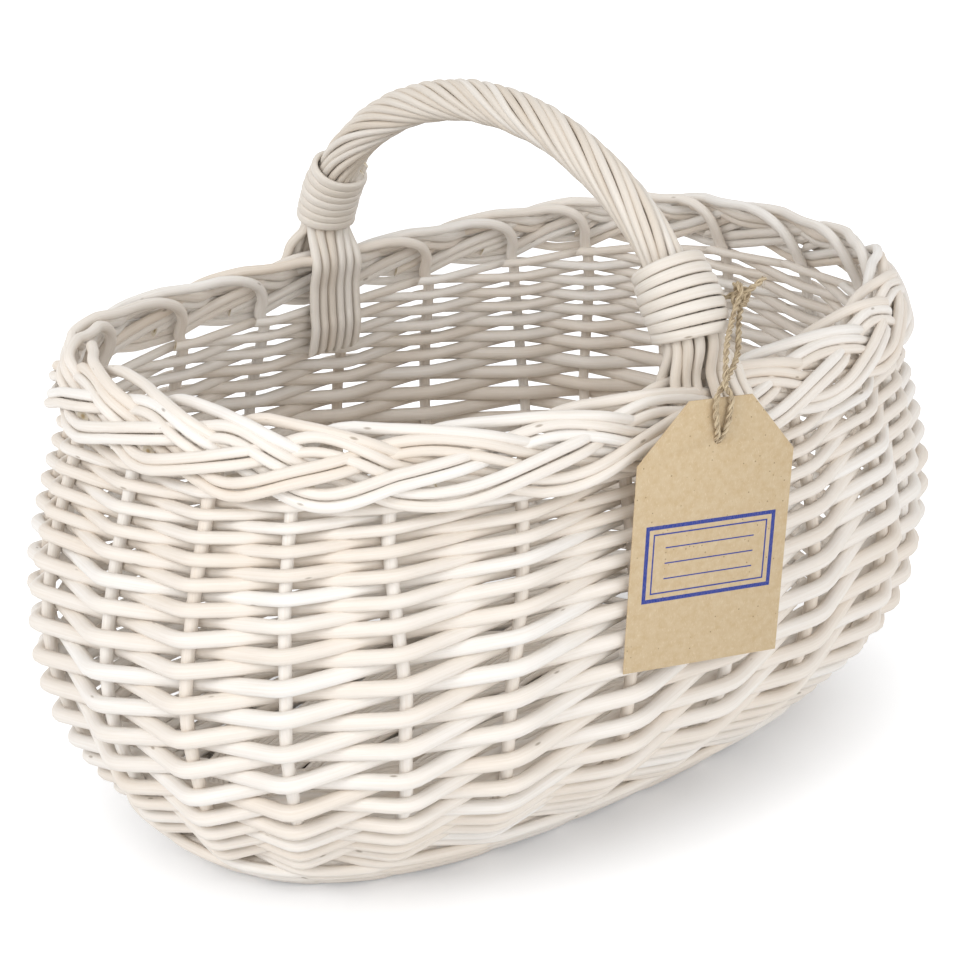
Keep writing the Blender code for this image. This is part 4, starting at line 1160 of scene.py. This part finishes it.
class BASKET_OT_cut_tag(bpy.types.Operator):
    """Cut the card tag with its clipped corners and its hole"""
    bl_idname = "basket.cut_tag"
    bl_label = "Cut tag"

    def execute(self, context):
        sizes = context.scene.basket_tag
        made = start_curve("tag_card", bpy.ops.curve.primitive_bezier_circle_add)
        curve = made.data
        curve.dimensions = "2D"
        curve.fill_mode = "BOTH"
        curve.extrude = sizes.thickness / 2 - CARD_BEVEL
        curve.bevel_depth = CARD_BEVEL
        curve.bevel_resolution = 1
        top, half = sizes.hole_drop, sizes.width / 2
        bottom, shoulder, neck = top - sizes.height, top - sizes.corner_down, half - sizes.corner_across
        outline = [(-neck, top), (-half, shoulder), (-half, bottom),
                   (half, bottom), (half, shoulder), (neck, top)]
        around = np.arange(28) / 28 * 2 * math.pi
        punched = [(math.cos(a) * sizes.hole / 2, math.sin(a) * sizes.hole / 2) for a in around]
        for ring in (outline, punched):
            spline = curve.splines.new("POLY")
            spline.points.add(len(ring) - 1)
            for point, (x, y) in zip(spline.points, ring):
                point.co = (x, y, 0.0, 1.0)
            spline.use_cyclic_u = True
        bpy.ops.object.convert(target="MESH")
        mesh = made.data
        mesh.name = "tag_card"
        keep_values(mesh, "card", "FLOAT_VECTOR", "vector", vertex_spots(mesh))
        mesh.materials.clear()
        mesh.materials.append(finishes()["card"])
        made.matrix_world = TAG_FRAME
        choose(made)
        bpy.ops.object.transform_apply(location=True, rotation=True, scale=True)
        weld(made, 30.0)
        finish_piece(made, ["swing_tag"], "tag")
        return {"FINISHED"}


def travelling_frame(line):
    """Two directions square to a line, carried along it without twisting."""
    ahead = unit(np.gradient(line, axis=0))
    firsts = [unit(np.cross(ahead[0], (0.0, 0.0, 1.0) if abs(ahead[0][2]) < 0.9 else (1.0, 0.0, 0.0)))]
    for step in ahead[1:]:
        firsts.append(unit(firsts[-1] - step * (firsts[-1] @ step)))
    firsts = np.array(firsts)
    return firsts, np.cross(ahead, firsts)


# Shares of the twine's thickness, and the stray fibres' radii
PLY_RADIUS = 0.275
PLY_OFFSET = 0.25
FIBRE_ROOT = 0.35
FIBRE_RADII = (6e-5, 3e-5)


def lay_twine(name, knots, sizes, seed, body, fibres, nodes=()):
    """A two-ply twine through a few places, with stray fibres. Returns the piece and its line."""
    rng = np.random.default_rng(seed)
    looks = [finishes()["jute"]]
    length = run_along(smooth_through(knots, 200))[-1]
    count = max(24, int(length / sizes.lay * 11))
    line = smooth_through(knots, count)
    first, second = travelling_frame(line)
    along = np.linspace(0.0, length, count)
    parts = []
    for ply in range(2):
        around = 2 * math.pi * along / sizes.lay + math.pi * ply
        aside = first * np.cos(around)[:, None] + second * np.sin(around)[:, None]
        radii = sizes.twine * PLY_RADIUS * (1.0 + wandering(count, 0.07, seed + 40 + ply, 14))
        parts.append(bend_rod(f"{name}_ply_{ply}", line + aside * sizes.twine * PLY_OFFSET, radii, looks,
                              0.3 + 0.4 * ply, sides=8))
    for index in range(fibres):
        at = rng.integers(1, count - 1)
        aim = first[at] * math.cos(index * 2.4) + second[at] * math.sin(index * 2.4)
        ahead = unit(line[at + 1] - line[at - 1])
        reach = sizes.twine * rng.uniform(0.4, 0.95)
        root = line[at] + aim * sizes.twine * FIBRE_ROOT
        curl = ahead * sizes.twine * rng.uniform(-0.7, 0.7)
        hair = smooth_through([root, root + aim * reach * 0.5 + curl * 0.3, root + aim * reach + curl], 5)
        parts.append(bend_rod(f"{name}_fibre_{index}", hair, np.linspace(*FIBRE_RADII, 5), looks, 0.2,
                              sides=4))
    choose(*parts)
    bpy.ops.object.join()
    made = bpy.context.active_object
    made.name = name
    made.data.name = name
    return finish_piece(made, nodes, body), line


# How each half of the lower twine goes from the pinch through the card's hole, and where the two meet
# behind it: across, up and out from the hole
LOWER_WAY = ((0.0034, 0.0188, 0.0022), (0.0034, 0.0125, 0.0024), (0.0018, 0.0045, 0.0023),
             (0.0009, 0.0, 0.0002), (0.0014, -0.0042, -0.0023), (0.0040, -0.0095, -0.0024))
LOWER_TURN = (0.0, -0.0140, -0.0022)
LOWER_KNOT = (0.0, -0.0050, -0.0034)


class BASKET_OT_twist_twine(bpy.types.Operator):
    """Twist the twine from the knot at the handle's foot down to the tag, and knot it"""
    bl_idname = "basket.twist_twine"
    bl_label = "Twist twine"

    def execute(self, context):
        sizes = context.scene.basket_tag
        pinch, knot, seat = np.array(PINCH), np.array(TIE_KNOT), np.array(TIE_SEAT)
        out, right, up = np.array(TAG_OUT), np.array(TAG_RIGHT), np.array(UP)
        half = sizes.twine / 2
        rise = unit(knot - pinch)
        aside = unit(np.cross(rise, out))
        aside = aside * math.copysign(1.0, float(aside @ right))
        for name, turn, seed, nodes in (("left", -1.0, 3100, ["twine_tie"]), ("right", 1.0, 3200, ())):
            way = [knot + aside * half * turn,
                   knot + (pinch - knot) * 0.25 + aside * turn * 0.0022,
                   knot + (pinch - knot) * 0.60 + aside * turn * 0.0040 + out * 0.001,
                   pinch + rise * 0.004 + aside * turn * 0.0012 - out * turn * half * 0.9,
                   pinch - out * turn * half - rise * 0.0006]
            if name == "left":
                way = [seat, seat * 0.45 + knot * 0.55 + (0.0, 0.001, -0.0012)] + way
            self.declare(*lay_twine(f"twine_upper_{name}", way, sizes, seed, "basket", 34, nodes), sizes)
        there, back = ([pinch + out * turn * half + rise * 0.0006]
                       + [on_card(turn * x, y, z) for x, y, z in LOWER_WAY] for turn in (1.0, -1.0))
        way = there + [on_card(*LOWER_TURN)] + back[::-1]
        self.declare(*lay_twine("twine_lower", way, sizes, 3300, "tag", 60, ["tag_twine"]), sizes)
        # Each knot is a small trefoil
        around = np.linspace(0.0, 2 * math.pi, 40)
        ring = np.stack([np.sin(around) + 2 * np.sin(2 * around), np.cos(around) - 2 * np.cos(2 * around),
                         -1.2 * np.sin(3 * around)], axis=1)
        ties = (("knot_upper", knot, rise, 0.00165, "basket"),
                ("knot_lower", on_card(*LOWER_KNOT), np.array(TAG_UP), 0.00095, "tag"))
        for name, centre, tall, scale, body in ties:
            wide = unit(np.cross(tall, out))
            deep = np.cross(wide, tall)
            loop = centre + (wide * ring[:, :1] + tall * ring[:, 1:2] * 1.15 + deep * ring[:, 2:3]) * scale
            lay_twine(name, loop, sizes, 3400, body, 16)
        tails = ((right * 0.80 + up * 0.50, 0.0140), (up * 0.9 - right * 0.25, 0.0060))
        for index, (aim, reach) in enumerate(tails):
            tail = [knot, knot + aim * reach * 0.5 + out * 0.0012, knot + aim * reach + out * 0.0008]
            lay_twine(f"twine_tail_{index + 1}", tail, sizes, 3500 + index, "basket", 22)
        return {"FINISHED"}

    def declare(self, made, line, sizes):
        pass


# Stage

def seen_directly(tree):
    """1 for what the camera sees straight or mirrored, 0 for light that falls on the basket."""
    path = add_node(tree, "ShaderNodeLightPath")
    return calc(tree, "MAXIMUM", path.outputs["Is Camera Ray"], path.outputs["Is Glossy Ray"])


class BASKET_OT_set_stage(bpy.types.Operator):
    """Set the floor, the lights and the camera"""
    bl_idname = "basket.set_stage"
    bl_label = "Set stage"

    def execute(self, context):
        scene = context.scene
        stage = scene.basket_stage
        scene.view_settings.view_transform = "Standard"
        back = Vector((math.sin(stage.azimuth) * math.cos(stage.elevation),
                       -math.cos(stage.azimuth) * math.cos(stage.elevation), math.sin(stage.elevation)))
        right = Vector((math.cos(stage.azimuth), math.sin(stage.azimuth), 0.0))
        up = back.cross(right)
        turned_right = right * math.cos(stage.roll) + up * math.sin(stage.roll)
        turned_up = up * math.cos(stage.roll) - right * math.sin(stage.roll)
        bpy.ops.object.camera_add()
        camera = bpy.context.active_object
        camera.name = "studio_camera"
        turned = Matrix((turned_right, turned_up, back)).transposed().to_4x4()
        stand = Vector((0.0, 0.0, stage.target_height)) + back * stage.distance
        camera.matrix_world = Matrix.Translation(stand) @ turned
        camera.data.lens = stage.lens
        camera.data.sensor_width = 36.0
        camera.data.shift_x = -0.0201
        camera.data.shift_y = 0.0244
        scene.camera = camera

        bpy.ops.object.select_all(action="DESELECT")
        bpy.ops.mesh.primitive_plane_add(size=12.0, location=(0.0, 0.0, -0.0004))
        floor = bpy.context.active_object
        floor.name = "studio_floor"
        bpy.ops.object.transform_apply(location=True, rotation=True, scale=True)
        made, tree = new_finish("white_sweep")
        # Brighter away from the basket, so that the sweep stays white and the shadow stays grey: the dimmer
        # glow near the basket is painted shade round it
        place = add_node(tree, "ShaderNodeTexCoord").outputs["Object"]
        apart = calc_vector(tree, "LENGTH", calc_vector(tree, "MULTIPLY", place, (0.7, 1.0, 1.0)))
        amount = remap(tree, apart, (0.09, 0.23), (0.14, 0.62), interpolation_type="SMOOTHSTEP")
        glow_with_painted_shade = calc(tree, "MULTIPLY", seen_directly(tree), amount)
        close_finish(tree, Base_Color=(0.85, 0.857, 0.872, 1.0), Roughness=0.9, Specular_IOR_Level=0.1,
                     Emission_Color=(1.0, 1.0, 1.0, 1.0), Emission_Strength=glow_with_painted_shade)
        floor.data.materials.append(made)

        world = bpy.data.worlds.new("studio")
        scene.world = world
        world.use_nodes = True
        tree = world.node_tree
        tree.nodes.clear()
        strength = remap(tree, seen_directly(tree), (0.0, 1.0), (stage.sky, 1.0))
        sky = add_node(tree, "ShaderNodeBackground", Color=(1.0, 1.0, 1.0, 1.0), Strength=strength)
        add_node(tree, "ShaderNodeOutputWorld", values=(sky.outputs[0],))

        for name, place, width, power in (("key_softbox", (-1.6, -0.2, 1.15), 0.8, stage.key_power),
                                          ("front_softbox", (-0.2, -1.9, 0.75), 1.5, stage.front_power)):
            bpy.ops.object.light_add(type="AREA", location=place)
            lamp = bpy.context.active_object
            lamp.name = name
            lamp.data.size = width
            lamp.data.energy = power
            aim = Vector((0.0, 0.0, 0.12)) - Vector(place)
            lamp.rotation_euler = aim.to_track_quat("-Z", "Y").to_euler()
        return {"FINISHED"}


class BASKET_PT_panel(bpy.types.Panel):
    """Lists the steps of making the basket"""
    bl_label = "Basket"
    bl_idname = "BASKET_PT_panel"
    bl_space_type = "VIEW_3D"
    bl_region_type = "UI"
    bl_category = "Basket"

    def draw(self, context):
        layout = self.layout
        for group in ("basket_weave", "basket_handle", "basket_tag", "basket_finishes", "basket_stage"):
            box = layout.box()
            values = getattr(context.scene, group)
            for name in values.bl_rna.properties.keys():
                if name not in ("rna_type", "name"):
                    box.prop(values, name)
        for step in STEPS:
            layout.operator(step.bl_idname)


STEPS = (BASKET_OT_set_stage, BASKET_OT_weave_base, BASKET_OT_set_stakes, BASKET_OT_weave_upsett,
         BASKET_OT_weave_siding, BASKET_OT_rope_handle, BASKET_OT_lead_feet, BASKET_OT_bind_lashings,
         BASKET_OT_cut_tag, BASKET_OT_twist_twine)
GROUPS = (("basket_weave", BasketWeaveSizes), ("basket_handle", BasketHandleSizes),
          ("basket_tag", BasketTagSizes), ("basket_finishes", BasketFinishes),
          ("basket_stage", BasketStageSettings))


def register():
    for name, group in GROUPS:
        bpy.utils.register_class(group)
        setattr(bpy.types.Scene, name, bpy.props.PointerProperty(type=group))
    for step in STEPS:
        bpy.utils.register_class(step)
    bpy.utils.register_class(BASKET_PT_panel)


def unregister():
    bpy.utils.unregister_class(BASKET_PT_panel)
    for step in reversed(STEPS):
        bpy.utils.unregister_class(step)
    for name, group in reversed(GROUPS):
        delattr(bpy.types.Scene, name)
        bpy.utils.unregister_class(group)


def main():
    register()
    bpy.ops.basket.set_stage()
    bpy.ops.basket.weave_base()
    bpy.ops.basket.set_stakes()
    bpy.ops.basket.weave_upsett()
    bpy.ops.basket.weave_siding()
    bpy.ops.basket.rope_handle()
    bpy.ops.basket.lead_feet()
    bpy.ops.basket.bind_lashings()
    bpy.ops.basket.cut_tag()
    bpy.ops.basket.twist_twine()


if __name__ == "__main__":
    main()
